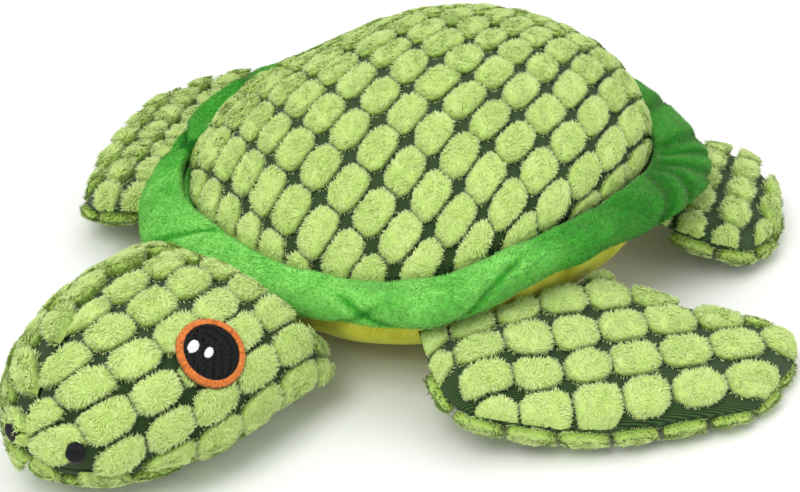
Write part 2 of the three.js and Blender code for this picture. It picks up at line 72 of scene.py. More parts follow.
TOP_SEAM, CHIN, RIGHT_EYE = 110, (242, 338), (0.489, 181)     # the head lies rolled to its right
NOSTRIL_AT, NOSTRIL_R = {"left": (17.4, 29.8), "right": (-8.8, 29.2)}, 3.2
FRONT = dict(th0=46, th1=103, t=[0, .18, .4, .62, .82, 1],
             lx=[0, 96.3, 113.5, 136, 156.2, 170], ly=[0, -85.6, -74, -53.2, -22, 2.5],
             rx=[0, 99, 115.4, 133.4, 150.5, 162.2], ry=[0, 18.4, 30.9, 42.5, 48.6, 36],
             z=[25, 19.5, 13.7, 11.6, 10, 7.4], h=[6, 10.5, 13, 11.5, 9.5, 7], long=125.0)
FRONT_LEFT = dict(FRONT, th0=41, th1=97, lx=[0, 94.4, 113, 136, 156.2, 170], ly=[0, -87.6, -74.6, -53.2, -22, 2.5],
                  z=[31.5, 22.5, 15, 11.6, 10, 7.4], h=[5.5, 13, 13.5, 12, 9.5, 7])
REAR = dict(th0=122, th1=160, t=[0, .35, .7, 1],
            lx=[0, 104, 111, 109], ly=[0, 66.5, 81, 105.6], rx=[0, 52, 66.7, 94], ry=[0, 128, 141.5, 132.9],
            z=[26, 18, 12, 9], h=[6.5, 12, 12, 9], long=70.0)
SWEEP_RIGHT = 8.0


def pchip(xs, ys):
    x, y = np.array(xs, float), np.array(ys, float)
    n, h = len(x), np.diff(x)
    d, m = np.diff(y) / h, np.zeros(n)
    for i in range(1, n - 1):
        if d[i - 1] * d[i] > 0:
            a, b = 2 * h[i] + h[i - 1], h[i] + 2 * h[i - 1]
            m[i] = (a + b) / (a / d[i - 1] + b / d[i])

    def end(h0, h1, d0, d1):
        s = ((2 * h0 + h1) * d0 - h0 * d1) / (h0 + h1)
        if s * d0 <= 0:
            return 0.0
        return 3 * d0 if d0 * d1 <= 0 and abs(s) > 3 * abs(d0) else s
    m[0], m[-1] = end(h[0], h[1], d[0], d[1]), end(h[-1], h[-2], d[-1], d[-2])

    def f(q):
        q = np.clip(q, x[0], x[-1])
        i = np.clip(np.searchsorted(x, q, side="right") - 1, 0, n - 2)
        t = (q - x[i]) / h[i]
        t2, t3 = t * t, t * t * t
        return (2 * t3 - 3 * t2 + 1) * y[i] + (t3 - 2 * t2 + t) * h[i] * m[i] + (3 * t2 - 2 * t3) * y[i + 1] + (t3 - t2) * h[i] * m[i + 1]
    return f


def around(at, v):
    at, v = list(at), list(v)
    f = pchip([a - 360 for a in at[-3:]] + at + [a + 360 for a in at[:3]], v[-3:] + v + v[:3])
    return lambda th: f(np.mod(np.asarray(th) / D2R + 180, 360) - 180)


def mirrored(table):
    at, v = table
    lo = [(-a, b) for a, b in zip(at, v) if 0 < a < 180][::-1]
    return around([a for a, _ in lo] + list(at), [b for _, b in lo] + list(v))


foot_r, foot_z, rim_z = mirrored(FOOT_R), around(Z_AT, FOOT_Z), around(Z_AT, RIM_Z)
reach, rim_half, rim_tilt = around(RIM_AT, RIM_REACH), around(RIM_AT, RIM_HALF), around(RIM_AT, RIM_TILT)


def smooth(x):
    x = np.clip(x, 0, 1)
    return x * x * (3 - 2 * x)


def unit(v):
    return v / np.maximum(np.linalg.norm(v, axis=-1, keepdims=True), 1e-9)


def spow(x, p):
    return np.sign(x) * np.abs(x) ** p


def vec(x, y, z):
    return np.stack(np.broadcast_arrays(x, y, z), -1).astype(float)


def dome(th, t, off=0.0):
    m = 1.77 - 0.2 * np.cos(th) + 0.13 * np.cos(2 * th)
    a = np.clip(t, 0, 1) * PI / 2
    rho, ze = np.sin(a) ** (2 / m), np.maximum(np.cos(a), 0) ** (2 / m)
    r = (foot_r(th) - off) * rho
    z = foot_z(th) * (1 - ze) + (SHELL_TOP - off) * ze - np.maximum(t - 1, 0) * 100
    return vec(r * np.sin(th), -r * np.cos(th) + SHELL_TOP_BACK * ze, z)


def belly_top(th):
    return rim_z(th) - rim_half(th) - 1.6


def belly(th, t, off=0.0):
    a = t * PI / 2
    rho, ze = np.sin(a) ** 0.93, np.maximum(np.cos(a), 0) ** 0.93
    k = np.maximum((1 - ze - 0.05) / 0.95, 0)
    r = (foot_r(th) + BELLY_OUT - off) * rho
    return vec(r * np.sin(th), -r * np.cos(th), off + (belly_top(th) - off) * k)


def rim(th, u, off=0.0):
    ri = foot_r(th) + 0.6
    a, b, al = (reach(th) - ri) / 2 - off, rim_half(th) - off, rim_tilt(th) * D2R
    x, y = a * np.cos(u), b * np.sin(u)
    r = (reach(th) + ri) / 2 + x * np.cos(al) + y * np.sin(al)
    return vec(r * np.sin(th), -r * np.cos(th), rim_z(th) - x * np.sin(al) + y * np.cos(al))


hw, h_top, h_mid, h_bot = (pchip(HEAD["t"], HEAD[k]) for k in ("w", "top", "mid", "bot"))
neck = pchip(NECK_X, NECK_Y)
TURN, LEN = HEAD["turn"] * D2R, HEAD["y1"] - HEAD["y0"]


def station(t):
    q = np.clip((t - HEAD["e0"]) / (1 - HEAD["e0"]), 0, 1)
    e = np.sqrt(np.maximum(1 - q ** HEAD["en"], 0))
    return hw(t) * e, h_mid(t), (h_top(t) - h_mid(t)) * e, (h_mid(t) - h_bot(t)) * e


def neck_bend(t, x):
    k = np.clip(1 - t / 0.3, 0, 1)
    return k * k * (3 - 2 * k) * neck(x)


def head_world(x, yy, z):
    return vec(x * np.cos(TURN) - yy * np.sin(TURN), HEAD["y0"] + x * np.sin(TURN) + yy * np.cos(TURN), z)


def head(t, u, off=0.0):
    w, zc, up, dn = station(t)
    w, up, dn = w * (1 - off / 46), up * (1 - off / 40), dn * (1 - off / 19)
    k = 2 / HEAD["n"]
    x = w * spow(np.cos(u), k)
    z = zc + np.where(np.sin(u) > 0, up, dn) * spow(np.sin(u), k)
    return head_world(x, (LEN + off) * t + neck_bend(t, x), z)


def head_f(p):
    x0, y0 = p[..., 0], p[..., 1] - HEAD["y0"]
    x, yy = x0 * math.cos(TURN) + y0 * math.sin(TURN), -x0 * math.sin(TURN) + y0 * math.cos(TURN)
    t = yy / LEN
    for _ in range(6):
        t = (yy - neck_bend(t, x)) / LEN
    w, zc, up, dn = station(np.clip(t, 0, 0.9999))
    h = np.where(p[..., 2] > zc, up, dn)
    f = (np.abs(x) / np.maximum(w, 1e-3)) ** HEAD["n"] + (np.abs(p[..., 2] - zc) / np.maximum(h, 1e-3)) ** HEAD["n"] - 1
    return np.where((t < 0) | (t > 1), 1.0, f)


def head_hit(o, d, far, n=160):
    """First points on the head's outer surface from points o along direction d, within far mm."""
    o = np.asarray(o, float).reshape(-1, 3)
    lo, hi, done = np.zeros(len(o)), np.full(len(o), far, float), np.zeros(len(o), bool)
    last = np.zeros(len(o))
    for i in range(1, n + 1):
        b = far * i / n
        inside = (head_f(o + d * b) < 0) & ~done
        lo[inside], hi[inside] = last[inside], b
        done |= inside
        last[:] = b
    for _ in range(26):
        m = (lo + hi) / 2
        ins = head_f(o + d * m[:, None]) < 0
        hi, lo = np.where(ins, m, hi), np.where(ins, lo, m)
    return o + d * hi[:, None]


def head_normal(p):
    e, g = 0.05, []
    for k in range(3):
        s = np.zeros(3)
        s[k] = e
        g.append(head_f(p + s) - head_f(p - s))
    return unit(np.stack(g, -1))


def seam_xy(th):
    r = foot_r(th) + BELLY_OUT + SEAM_GAP
    return r * np.sin(th), -r * np.cos(th)


class Flipper:
    def __init__(self, F, side, sweep):
        a0, a1 = seam_xy(F["th0"] * D2R), seam_xy(F["th1"] * D2R)
        self.a0, self.a1, self.F, self.side, self.sweep = a0, a1, F, side, sweep
        self.lx, self.ly = pchip(F["t"], [a0[0]] + F["lx"][1:]), pchip(F["t"], [a0[1]] + F["ly"][1:])
        self.rx, self.ry = pchip(F["t"], [a1[0]] + F["rx"][1:]), pchip(F["t"], [a1[1]] + F["ry"][1:])
        self.z, self.h = pchip(F["t"], F["z"]), pchip(F["t"], F["h"])
        s, v = np.meshgrid(np.linspace(0, 1, 41), np.linspace(0, 1, 31), indexing="ij")
        self.gs, self.gv = s.ravel(), v.ravel()
        self.gx, self.gy = self.plan(self.gs, self.gv)

    def plan(self, s, v):
        F = self.F
        lin = lambda p, q: p * (1 - v) + q * v
        X, Y = lin(self.lx(s), self.rx(s)), lin(self.ly(s), self.ry(s))
        ax, ay = seam_xy((F["th0"] + (F["th1"] - F["th0"]) * v) * D2R)
        k = np.maximum(1 - s / 0.4, 0) ** 2
        X, Y = X + k * (ax - lin(self.a0[0], self.a1[0])), Y + k * (ay - lin(self.a0[1], self.a1[1]))
        if self.sweep:
            q = smooth(s / 0.35)
            a, dx, dy = self.sweep * D2R * q, X - 78, Y + 12
            X, Y = 78 + dx * np.cos(a) - dy * np.sin(a), -12 + dx * np.sin(a) + dy * np.cos(a)
            X = X - 0.035 * q * (X - 90)
        return X * self.side, Y

    def width(self, s):
        x0, y0 = self.plan(s, np.zeros_like(s))
        x1, y1 = self.plan(s, np.ones_like(s))
        return np.hypot(x1 - x0, y1 - y0)

    def swell(self, s, v):
        e, q = np.minimum((1 - s) / 0.22, 1), np.abs(2 * v - 1)
        return np.maximum(1 - np.minimum(q, 1) ** 2.6, 0) ** 0.55 * np.sqrt(np.maximum(1 - (1 - e) ** 2, 0))

    def point(self, s, v, face, off=0.0):
        s, v = np.clip(s, 0, 1), np.clip(v, 0, 1)
        pf = self.swell(s, v)
        sb = s * (1 - off / self.F["long"])
        vb = 0.5 + (v - 0.5) * (1 - 2 * off / self.width(sb))
        X, Y = self.plan(sb, vb)
        h = self.h(sb)
        return vec(X, Y, np.maximum(self.z(sb) + face * np.maximum(h - off * 0.86, 1.5) * pf, off if face < 0 else 0))

    def inverse(self, X, Y):
        shape = np.shape(X)
        X, Y = np.ravel(X), np.ravel(Y)
        s, v = np.empty(len(X)), np.empty(len(X))
        for a in range(0, len(X), 20000):
            b = slice(a, a + 20000)
            k = ((X[b, None] - self.gx) ** 2 + (Y[b, None] - self.gy) ** 2).argmin(1)
            s[b], v[b] = self.gs[k], self.gv[k]
        for _ in range(6):
            x, y = self.plan(s, v)
            e = 1e-3
            s2 = np.where(s > 0.5, s - e, s + e)
            xs, ys = self.plan(s2, v)
            xs, ys = (xs - x) / (s2 - s), (ys - y) / (s2 - s)
            xv, yv = self.plan(s, v + e)
            xv, yv = (xv - x) / e, (yv - y) / e
            det = xs * yv - ys * xv
            det = np.where(np.abs(det) < 1e-3, 1e-3, det)
            rx, ry = X - x, Y - y
            s = np.clip(s + np.clip((rx * yv - ry * xv) / det, -.1, .1), 0, 1)
            v = np.clip(v + np.clip((xs * ry - ys * rx) / det, -.2, .2), -1, 2)
        x, y = self.plan(s, v)
        return s.reshape(shape), v.reshape(shape), np.hypot(X - x, Y - y).reshape(shape)


# ------------------------------------------------------------------------------------------------
# Flat cloth coordinates (mm on the cut panel) to the sewn surface. Each returns the backing's point and how far
# inside the panel's seam it lies.
# ------------------------------------------------------------------------------------------------
class ShellPanel:
    out = np.array([0, 0, 20.0])

    def __init__(self):
        self.th, self.t = np.linspace(-PI, PI, 241), np.linspace(0, 1, 121)
        T, S = np.meshgrid(self.th, self.t, indexing="ij")
        P = dome(T, S)
        self.s = np.concatenate([np.zeros((len(self.th), 1)), np.cumsum(np.linalg.norm(np.diff(P, axis=1), axis=2), 1)], 1)
        r = foot_r(self.th)
        self.phi = np.unwrap(np.arctan2(r * np.sin(self.th), r * np.cos(self.th) + SHELL_TOP_BACK))

    def where(self, U, V):
        r, phi = np.hypot(U, V), np.arctan2(U, -V)
        th = np.interp(phi, self.phi, self.th)
        f = (th + PI) / (2 * PI) * 240
        i = np.clip(f.astype(int), 0, 239)
        w = f - i
        t = np.empty_like(r)
        rows = self.s[i] * (1 - w)[..., None] + self.s[i + 1] * w[..., None]
        k = np.clip((rows < r[..., None]).sum(-1) - 1, 0, 119)
        a, b = np.take_along_axis(rows, k[..., None], -1)[..., 0], np.take_along_axis(rows, k[..., None] + 1, -1)[..., 0]
        t = (k + (r - a) / np.maximum(b - a, 1e-6)) / 120
        over = r - rows[..., -1]
        t = np.where(over > 0, 1 + over / 100, t)
        return th, t, -over

    def __call__(self, U, V, off):
        th, t, d = self.where(U, V)
        return dome(th, np.minimum(t, 1.06), off), d + 6.0


class HeadPanel:
    """A gore of the head: flat x runs along its middle line from the neck, flat y across it."""
    def __init__(self, u0, u1, mid, flip=1):
        self.u0, self.u1, self.mid, self.flip = u0 * D2R, u1 * D2R, mid * D2R, flip
        self.t = 1 - (1 - np.linspace(0, 1, 161)) ** 1.5
        self.u = np.linspace(self.u0 - 12 * D2R, self.u1 + 12 * D2R, 141)
        T, U = np.meshgrid(self.t, self.u, indexing="ij")
        P = head(T, U)
        jm = np.argmin(abs(self.u - self.mid))
        self.s = np.r_[0, np.cumsum(np.linalg.norm(np.diff(P[:, jm], axis=0), axis=1))]
        arc = np.concatenate([np.zeros((161, 1)), np.cumsum(np.linalg.norm(np.diff(P, axis=1), axis=2), 1)], 1)
        self.arc = arc - arc[:, [jm]]

    def where(self, U, V):
        f = np.interp(U, self.s, np.arange(161))
        i = np.clip(f.astype(int), 0, 159)
        w = f - i
        t = self.t[i] * (1 - w) + self.t[i + 1] * w
        rows = self.arc[i] * (1 - w)[..., None] + self.arc[i + 1] * w[..., None]
        y = V * self.flip
        k = np.clip((rows < y[..., None]).sum(-1) - 1, 0, 139)
        a, b = np.take_along_axis(rows, k[..., None], -1)[..., 0], np.take_along_axis(rows, k[..., None] + 1, -1)[..., 0]
        u = np.clip(k + (y - a) / np.maximum(b - a, 1e-4), 0, 140) / 140 * (self.u[-1] - self.u[0]) + self.u[0]
        ia, ib = np.interp(self.u0, self.u, np.arange(141)), np.interp(self.u1, self.u, np.arange(141))
        lo = rows[..., int(round(ia))]
        hi = rows[..., int(round(ib))]
        d = np.minimum(np.minimum(y - lo, hi - y), np.minimum(U + 4.0, self.s[-1] - U + 1.5))
        return t, np.clip(u, self.u0, self.u1), d

    def __call__(self, U, V, off):
        t, u, d = self.where(U, V)
        return head(t, u, off), d


class FlipperPanel:
    def __init__(self, flipper, face):
        self.f, self.face = flipper, face

    def where(self, U, V):
        s, v, miss = self.f.inverse(U, V)
        w = self.f.width(np.clip(s, 0, 1))
        d = np.minimum(np.minimum(v, 1 - v) * w, (1 - s) * self.f.F["long"] + 0.5)
        return s, v, np.where(miss > 0.4, -miss, d)

    def __call__(self, U, V, off):
        s, v, d = self.where(U, V)
        return self.f.point(s, v, self.face, off), d


class EdgePanel:
    """The bottom panel along a flipper's edge: flat x runs along the seam, flat y in from it."""
    def __init__(self, flipper, s0=0.07):
        self.f = flipper
        a, b = np.linspace(s0, 1, 46), np.linspace(0, 1, 16)
        self.seam = np.concatenate([np.stack([a, 0 * a], -1), np.stack([1 + 0 * b, b], -1)[1:-1], np.stack([a, 0 * a + 1], -1)[::-1]])
        s = self.seam[:, 0]
        self.goal = np.stack([s - .2 * smooth((s - .5) / .5), 0 * s + .5], -1)
        self.q = np.linspace(0, 1, 81) ** 2
        sv = self.seam[:, None] + (self.goal - self.seam)[:, None] * self.q[None, :, None]
        P = flipper.point(sv[..., 0], sv[..., 1], -1)
        self.u = np.r_[0, np.cumsum(np.linalg.norm(np.diff(P[:, 0], axis=0), axis=-1))]
        self.arc = np.concatenate([np.zeros((len(P), 1)), np.cumsum(np.linalg.norm(np.diff(P, axis=1), axis=2), 1)], 1)

    def __call__(self, U, V, off):
        n = len(self.u)
        f = np.interp(U, self.u, np.arange(n))
        i = np.clip(f.astype(int), 0, n - 2)
        w = (f - i)[..., None]
        rows = self.arc[i] * (1 - w) + self.arc[i + 1] * w
        k = np.clip((rows < V[..., None]).sum(-1) - 1, 0, 79)
        a, b = np.take_along_axis(rows, k[..., None], -1)[..., 0], np.take_along_axis(rows, k[..., None] + 1, -1)[..., 0]
        q = np.interp(np.clip(k + (V - a) / np.maximum(b - a, 1e-5), 0, 80), np.arange(81), self.q)[..., None]
        sv = (self.seam[i] * (1 - w) + self.seam[i + 1] * w) * (1 - q) + (self.goal[i] * (1 - w) + self.goal[i + 1] * w) * q
        return self.f.point(sv[..., 0], sv[..., 1], -1, off), np.minimum(V, np.minimum(U, self.u[-1] - U) + 3)


class Lattice:
    """Tuft rows on the flat cloth: index (i across the rows, j along them) to flat millimetres."""
    def __init__(self, origin, ei, ej, bumps=(), sig=1.3, near=()):
        self.o, self.ei, self.ej = (np.array(v, float) for v in (origin, ei, ej))
        self.b = [(*r, sig) for r in bumps] + [(*r, 0.5) for r in near]
        self.pi, self.pj = np.linalg.norm(self.ei), np.linalg.norm(self.ej)

    def __call__(self, i, j):
        U = self.o[0] + i * self.ei[0] + j * self.ej[0]
        V = self.o[1] + i * self.ei[1] + j * self.ej[1]
        for a, b, du, dv, sig in self.b:
            k = np.exp(-((i - a) ** 2 + (j - b) ** 2) / (2 * sig ** 2))
            U, V = U + du * k, V + dv * k
        return U, V


# ------------------------------------------------------------------------------------------------
# Mesh helpers
# ------------------------------------------------------------------------------------------------
def to_m(P):
    return (np.asarray(P, float).reshape(-1, 3) + [X_SHIFT, Y_SHIFT, 0]) / 1000


def make(name, V, quads=None, tris=None, mat=None, attrs=None, uv=None, floor=0.0004):
    """A mesh object from points in mm, quads and triangles."""
    V = to_m(V)
    V[:, 2] = np.maximum(V[:, 2], floor)
    q = np.zeros((0, 4), np.int32) if quads is None else np.asarray(quads, np.int32).reshape(-1, 4)
    t = np.zeros((0, 3), np.int32) if tris is None else np.asarray(tris, np.int32).reshape(-1, 3)
    me = bpy.data.meshes.new(name)
    me.vertices.add(len(V))
    me.vertices.foreach_set("co", V.astype(np.float32).ravel())
    me.loops.add(len(q) * 4 + len(t) * 3)
    me.loops.foreach_set("vertex_index", np.concatenate([q.ravel(), t.ravel()]))
    me.polygons.add(len(q) + len(t))
    total = np.r_[np.full(len(q), 4), np.full(len(t), 3)].astype(np.int32)
    start = np.r_[0, np.cumsum(total)[:-1]].astype(np.int32)
    me.polygons.foreach_set("loop_start", start)
    me.polygons.foreach_set("loop_total", total)
    me.polygons.foreach_set("use_smooth", np.ones(len(total), bool))
    me.update(calc_edges=True)
    # every face has its own cell of the bake map
    n = max(int(math.ceil(math.sqrt(len(total)))), 1)
    k = np.arange(len(total))
    cx, cy = (k % n) / n, (k // n) / n
    qa, ta = np.array([[.08, .08], [.92, .08], [.92, .92], [.08, .92]]) / n, np.array([[.08, .08], [.92, .08], [.5, .92]]) / n
    uvq = np.stack([cx[:len(q)], cy[:len(q)]], -1)[:, None] + qa
    uvt = np.stack([cx[len(q):], cy[len(q):]], -1)[:, None] + ta
    me.uv_layers.new(name="OFBake").data.foreach_set("uv", np.concatenate([uvq.reshape(-1, 2), uvt.reshape(-1, 2)]).astype(np.float32).ravel())
    if uv is not None:
        a = np.asarray(uv, float).reshape(-1, 2)
        loops = np.concatenate([q.ravel(), t.ravel()])
        me.uv_layers.new(name="Cloth").data.foreach_set("uv", a[loops].astype(np.float32).ravel())
    for k2, val in (attrs or {}).items():
        me.attributes.new(k2, "FLOAT", "POINT").data.foreach_set("value", np.asarray(val, np.float32).ravel())
    me.validate()
    ob = bpy.data.objects.new(name, me)
    bpy.context.scene.collection.objects.link(ob)
    if mat:
        me.materials.append(mat)
    return ob


def grid_quads(nu, nv, wrap_u=False, base=0, flip=False):
    """Quads of a grid of (nu, nv) points, point index i * nv + j."""
    iu = np.arange(nu if wrap_u else nu - 1)
    i, j = np.meshgrid(iu, np.arange(nv - 1), indexing="ij")
    i2 = (i + 1) % nu
    q = np.stack([i * nv + j, i2 * nv + j, i2 * nv + j + 1, i * nv + j + 1], -1).reshape(-1, 4) + base
    return q[:, ::-1] if flip else q


def grid_normals(P, wrap_u=False):
    if wrap_u:
        du = np.roll(P, -1, 0) - np.roll(P, 1, 0)
    else:
        du = np.gradient(P, axis=0)
    dv = np.gradient(P, axis=1)
    return unit(np.cross(du, dv))


def cloth_sheet(name, P, thick, mat, wrap_u=False, uv=None, sign=1, attrs=None, floor=0.0004):
    """A closed cloth panel: outer grid P (nu, nv, 3) and the same grid moved in by thick."""
    nu, nv = P.shape[:2]
    N = grid_normals(P, wrap_u) * sign
    inner = P - N * thick
    n = nu * nv
    Q = [grid_quads(nu, nv, wrap_u, flip=sign < 0), grid_quads(nu, nv, wrap_u, n, flip=sign > 0)]
    iu = np.arange(nu if wrap_u else nu - 1)
    i2 = (iu + 1) % nu
    for j, fl in ((0, sign > 0), (nv - 1, sign < 0)):
        q = np.stack([iu * nv + j, i2 * nv + j, i2 * nv + j + n, iu * nv + j + n], -1)
        Q.append(q[:, ::-1] if fl else q)
    if not wrap_u:
        jv = np.arange(nv - 1)
        for i, fl in ((0, sign < 0), (nu - 1, sign > 0)):
            q = np.stack([i * nv + jv, i * nv + jv + 1, i * nv + jv + 1 + n, i * nv + jv + n], -1)
            Q.append(q[:, ::-1] if fl else q)
    V = np.concatenate([P.reshape(-1, 3), inner.reshape(-1, 3)])
    UV = None if uv is None else np.concatenate([uv.reshape(-1, 2)] * 2)
    at = {k: np.concatenate([a.ravel()] * 2) for k, a in (attrs or {}).items()}
    return make(name, V, np.concatenate(Q), None, mat, at, UV, floor)


# ------------------------------------------------------------------------------------------------
# Materials
# ------------------------------------------------------------------------------------------------
class Mat:
    def __init__(self, name, rough=0.9, sheen=0.0, sheen_tint=(1, 1, 1), sheen_rough=0.5, spec=0.3):
        self.m = bpy.data.materials.new(name)
        self.m.use_nodes = True
        self.t = self.m.node_tree
        self.b = self.t.nodes["Principled BSDF"]
        self.b.inputs["Roughness"].default_value = rough
        self.b.inputs["Specular IOR Level"].default_value = spec
        self.b.inputs["Sheen Weight"].default_value = sheen
        self.b.inputs["Sheen Roughness"].default_value = sheen_rough
        self.b.inputs["Sheen Tint"].default_value = (*sheen_tint, 1)

    def n(self, kind, **kw):
        nd = self.t.nodes.new(kind)
        for k, v in kw.items():
            if k.startswith("i_"):
                nd.inputs[int(k[2:]) if k[2:].isdigit() else k[2:].replace("_", " ")].default_value = v
            else:
                setattr(nd, k, v)
        return nd

    def link(self, a, b):
        self.t.links.new(a, b)

    def attr(self, name):
        return self.n("ShaderNodeAttribute", attribute_name=name).outputs["Fac"]

    def math(self, op, a, b=None, c=None, clamp=False):
        nd = self.n("ShaderNodeMath", operation=op, use_clamp=clamp)
        for k, x in enumerate((a, b, c)):
            if x is None:
                continue
            if isinstance(x, (int, float)):
                nd.inputs[k].default_value = x
            else:
                self.link(x, nd.inputs[k])
        return nd.outputs[0]

    def ramp(self, fac, stops, interp="LINEAR"):
        nd = self.n("ShaderNodeValToRGB")
        nd.color_ramp.interpolation = interp
        while len(nd.color_ramp.elements) < len(stops):
            nd.color_ramp.elements.new(0.5)
        for e, (p, c) in zip(nd.color_ramp.elements, stops):
            e.position, e.color = p, (*c, 1)
        self.link(fac, nd.inputs[0])
        return nd.outputs[0]

    def noise(self, coord, scale, detail=2.0, rough=0.5, dist=0.0):
        nd = self.n("ShaderNodeTexNoise")
        nd.inputs["Scale"].default_value = scale
        nd.inputs["Detail"].default_value = detail
        nd.inputs["Roughness"].default_value = rough
        nd.inputs["Distortion"].default_value = dist
        if coord is not None:
            self.link(coord, nd.inputs["Vector"])
        return nd.outputs["Fac"]

    def mix(self, fac, a, b, blend="MIX"):
        nd = self.n("ShaderNodeMix", data_type="RGBA", blend_type=blend)
        for sock, x in ((nd.inputs[0], fac), (nd.inputs[6], a), (nd.inputs[7], b)):
            if isinstance(x, (int, float)):
                sock.default_value = x
            elif isinstance(x, tuple):
                sock.default_value = (*x, 1)
            else:
                self.link(x, sock)
        return nd.outputs[2]

    def bump(self, height, strength, dist):
        nd = self.n("ShaderNodeBump")
        nd.inputs["Strength"].default_value = strength
        nd.inputs["Distance"].default_value = dist
        self.link(height, nd.inputs["Height"])
        self.link(nd.outputs[0], self.b.inputs["Normal"])

    def color(self, c):
        self.link(c, self.b.inputs["Base Color"])


def srgb(h):
    c = [int(h[k:k + 2], 16) / 255 for k in (1, 3, 5)]
    return tuple(x / 12.92 if x <= 0.04045 else ((x + 0.055) / 1.055) ** 2.4 for x in c)


def obj_coord(m):
    return m.n("ShaderNodeTexCoord").outputs["Object"]


def uv_coord(m, name="Cloth"):
    return m.n("ShaderNodeUVMap", uv_map=name).outputs["UV"]


def pile_material(name, root, low, mid, tip, edge):
    m = Mat(name, rough=0.85, sheen=0.2, sheen_tint=(0.95, 1.0, 0.8), sheen_rough=0.5, spec=0.12)
    tipv, tone, rho = m.attr("tip"), m.attr("tone"), m.attr("rim")
    co = obj_coord(m)
    n1 = m.noise(co, 420, 3, 0.6)
    n2 = m.noise(co, 70, 2, 0.5)
    # painted shade: the ramp runs from dark at the pile's roots and the tufts' low walls to light at the fibre tips
    f = m.math("ADD", tipv, m.math("MULTIPLY", m.math("SUBTRACT", tone, 0.5), 0.42))
    f = m.math("ADD", f, m.math("MULTIPLY", m.math("SUBTRACT", n1, 0.5), 0.25))
    f = m.math("ADD", f, m.math("MULTIPLY", m.math("SUBTRACT", n2, 0.5), 0.25), clamp=True)
    c = m.ramp(f, [(0.0, root), (0.30, low), (0.62, mid), (1.0, tip)])
    # painted sheen: toward the tufts' outer walls the fibre tips are mixed toward the pale edge colour
    e = m.math("MULTIPLY", m.math("POWER", rho, 3.0), m.math("MULTIPLY", tipv, 0.6), clamp=True)
    c = m.mix(e, c, edge)
    m.color(c)
    m.bump(m.noise(co, 1500, 2, 0.6), 0.25, 0.0006)
    return m.m


def backing_material():
    """Woven dark green backing with fine diagonal ribs."""
    m = Mat("backing_weave", rough=0.85, sheen=0.12, spec=0.25)
    uv = uv_coord(m)
    mp = m.n("ShaderNodeMapping")
    mp.inputs["Rotation"].default_value = (0, 0, math.radians(38))
    m.link(uv, mp.inputs["Vector"])
    w1 = m.n("ShaderNodeTexWave", wave_type="BANDS", bands_direction="X", wave_profile="SIN")
    w1.inputs["Scale"].default_value = 0.48
    w1.inputs["Distortion"].default_value = 0.6
    w1.inputs["Detail"].default_value = 1.0
    w1.inputs["Detail Scale"].default_value = 1.5
    m.link(mp.outputs[0], w1.inputs["Vector"])
    w2 = m.n("ShaderNodeTexWave", wave_type="BANDS", bands_direction="Y", wave_profile="SIN")
    w2.inputs["Scale"].default_value = 0.75
    w2.inputs["Distortion"].default_value = 0.8
    m.link(mp.outputs[0], w2.inputs["Vector"])
    n = m.noise(obj_coord(m), 900, 3, 0.6)
    f = m.math("ADD", m.math("MULTIPLY", w1.outputs["Fac"], 0.62), m.math("MULTIPLY", w2.outputs["Fac"], 0.2))
    f = m.math("ADD", f, m.math("MULTIPLY", n, 0.25), clamp=True)
    m.color(m.ramp(f, [(0.05, srgb("#101e0a")), (0.45, srgb("#253e18")), (0.8, srgb("#3a5c27")), (1.0, srgb("#547a3b"))]))
    m.bump(f, 0.7, 0.0007)
    return m.m


def short_pile_material(name, deep, base, light, nap=0.0):
    """Short plush: brushed nap streaks, painted shade darkening the creases, and painted light and shade along the rim,
    paler at its front and darker at its sides and back.
    """
    m = Mat(name, rough=0.8, sheen=0.3, sheen_tint=(0.65, 1.0, 0.45), sheen_rough=0.35, spec=0.1)
    uv = uv_coord(m)
    mp = m.n("ShaderNodeMapping")
    mp.inputs["Rotation"].default_value = (0, 0, math.radians(nap))
    mp.inputs["Scale"].default_value = (0.35, 1.25, 1)
    m.link(uv, mp.inputs["Vector"])
    n1 = m.noise(mp.outputs[0], 1.0, 4, 0.65, 0.6)
    n2 = m.noise(uv, 0.06, 3, 0.55, 0.8)
    n3 = m.noise(uv, 2.6, 2, 0.6)
    f = m.math("ADD", m.math("MULTIPLY", n1, 0.5), m.math("MULTIPLY", n2, 0.45))
    f = m.math("ADD", f, m.math("MULTIPLY", n3, 0.15))
    # painted light and shade along the rim, from a vertex attribute
    f = m.math("ADD", f, m.math("MULTIPLY", m.attr("rim_painted_light"), 0.5))
    # painted shade in the creases, from a vertex attribute
    f = m.math("SUBTRACT", f, m.math("MULTIPLY", m.attr("crease_shade"), 0.45), clamp=True)
    m.color(m.ramp(f, [(0.22, deep), (0.5, base), (0.78, light)]))
    h = m.math("ADD", m.math("MULTIPLY", n1, 0.7), m.math("MULTIPLY", n3, 0.4))
    m.bump(h, 0.5, 0.0009)
    return m.m


def thread_material(name, dark, base, light, rough=0.5, sheen=0.2, spec=0.35):
    m = Mat(name, rough=rough, sheen=sheen, spec=spec)
    co = obj_coord(m)
    f = m.math("ADD", m.math("MULTIPLY", m.noise(co, 1400, 2, 0.6), 0.5), m.math("MULTIPLY", m.attr("tone"), 0.5))
    m.color(m.ramp(f, [(0.2, dark), (0.5, base), (0.85, light)]))
    m.bump(m.noise(co, 2600, 2, 0.6), 0.3, 0.0003)
    return m.m


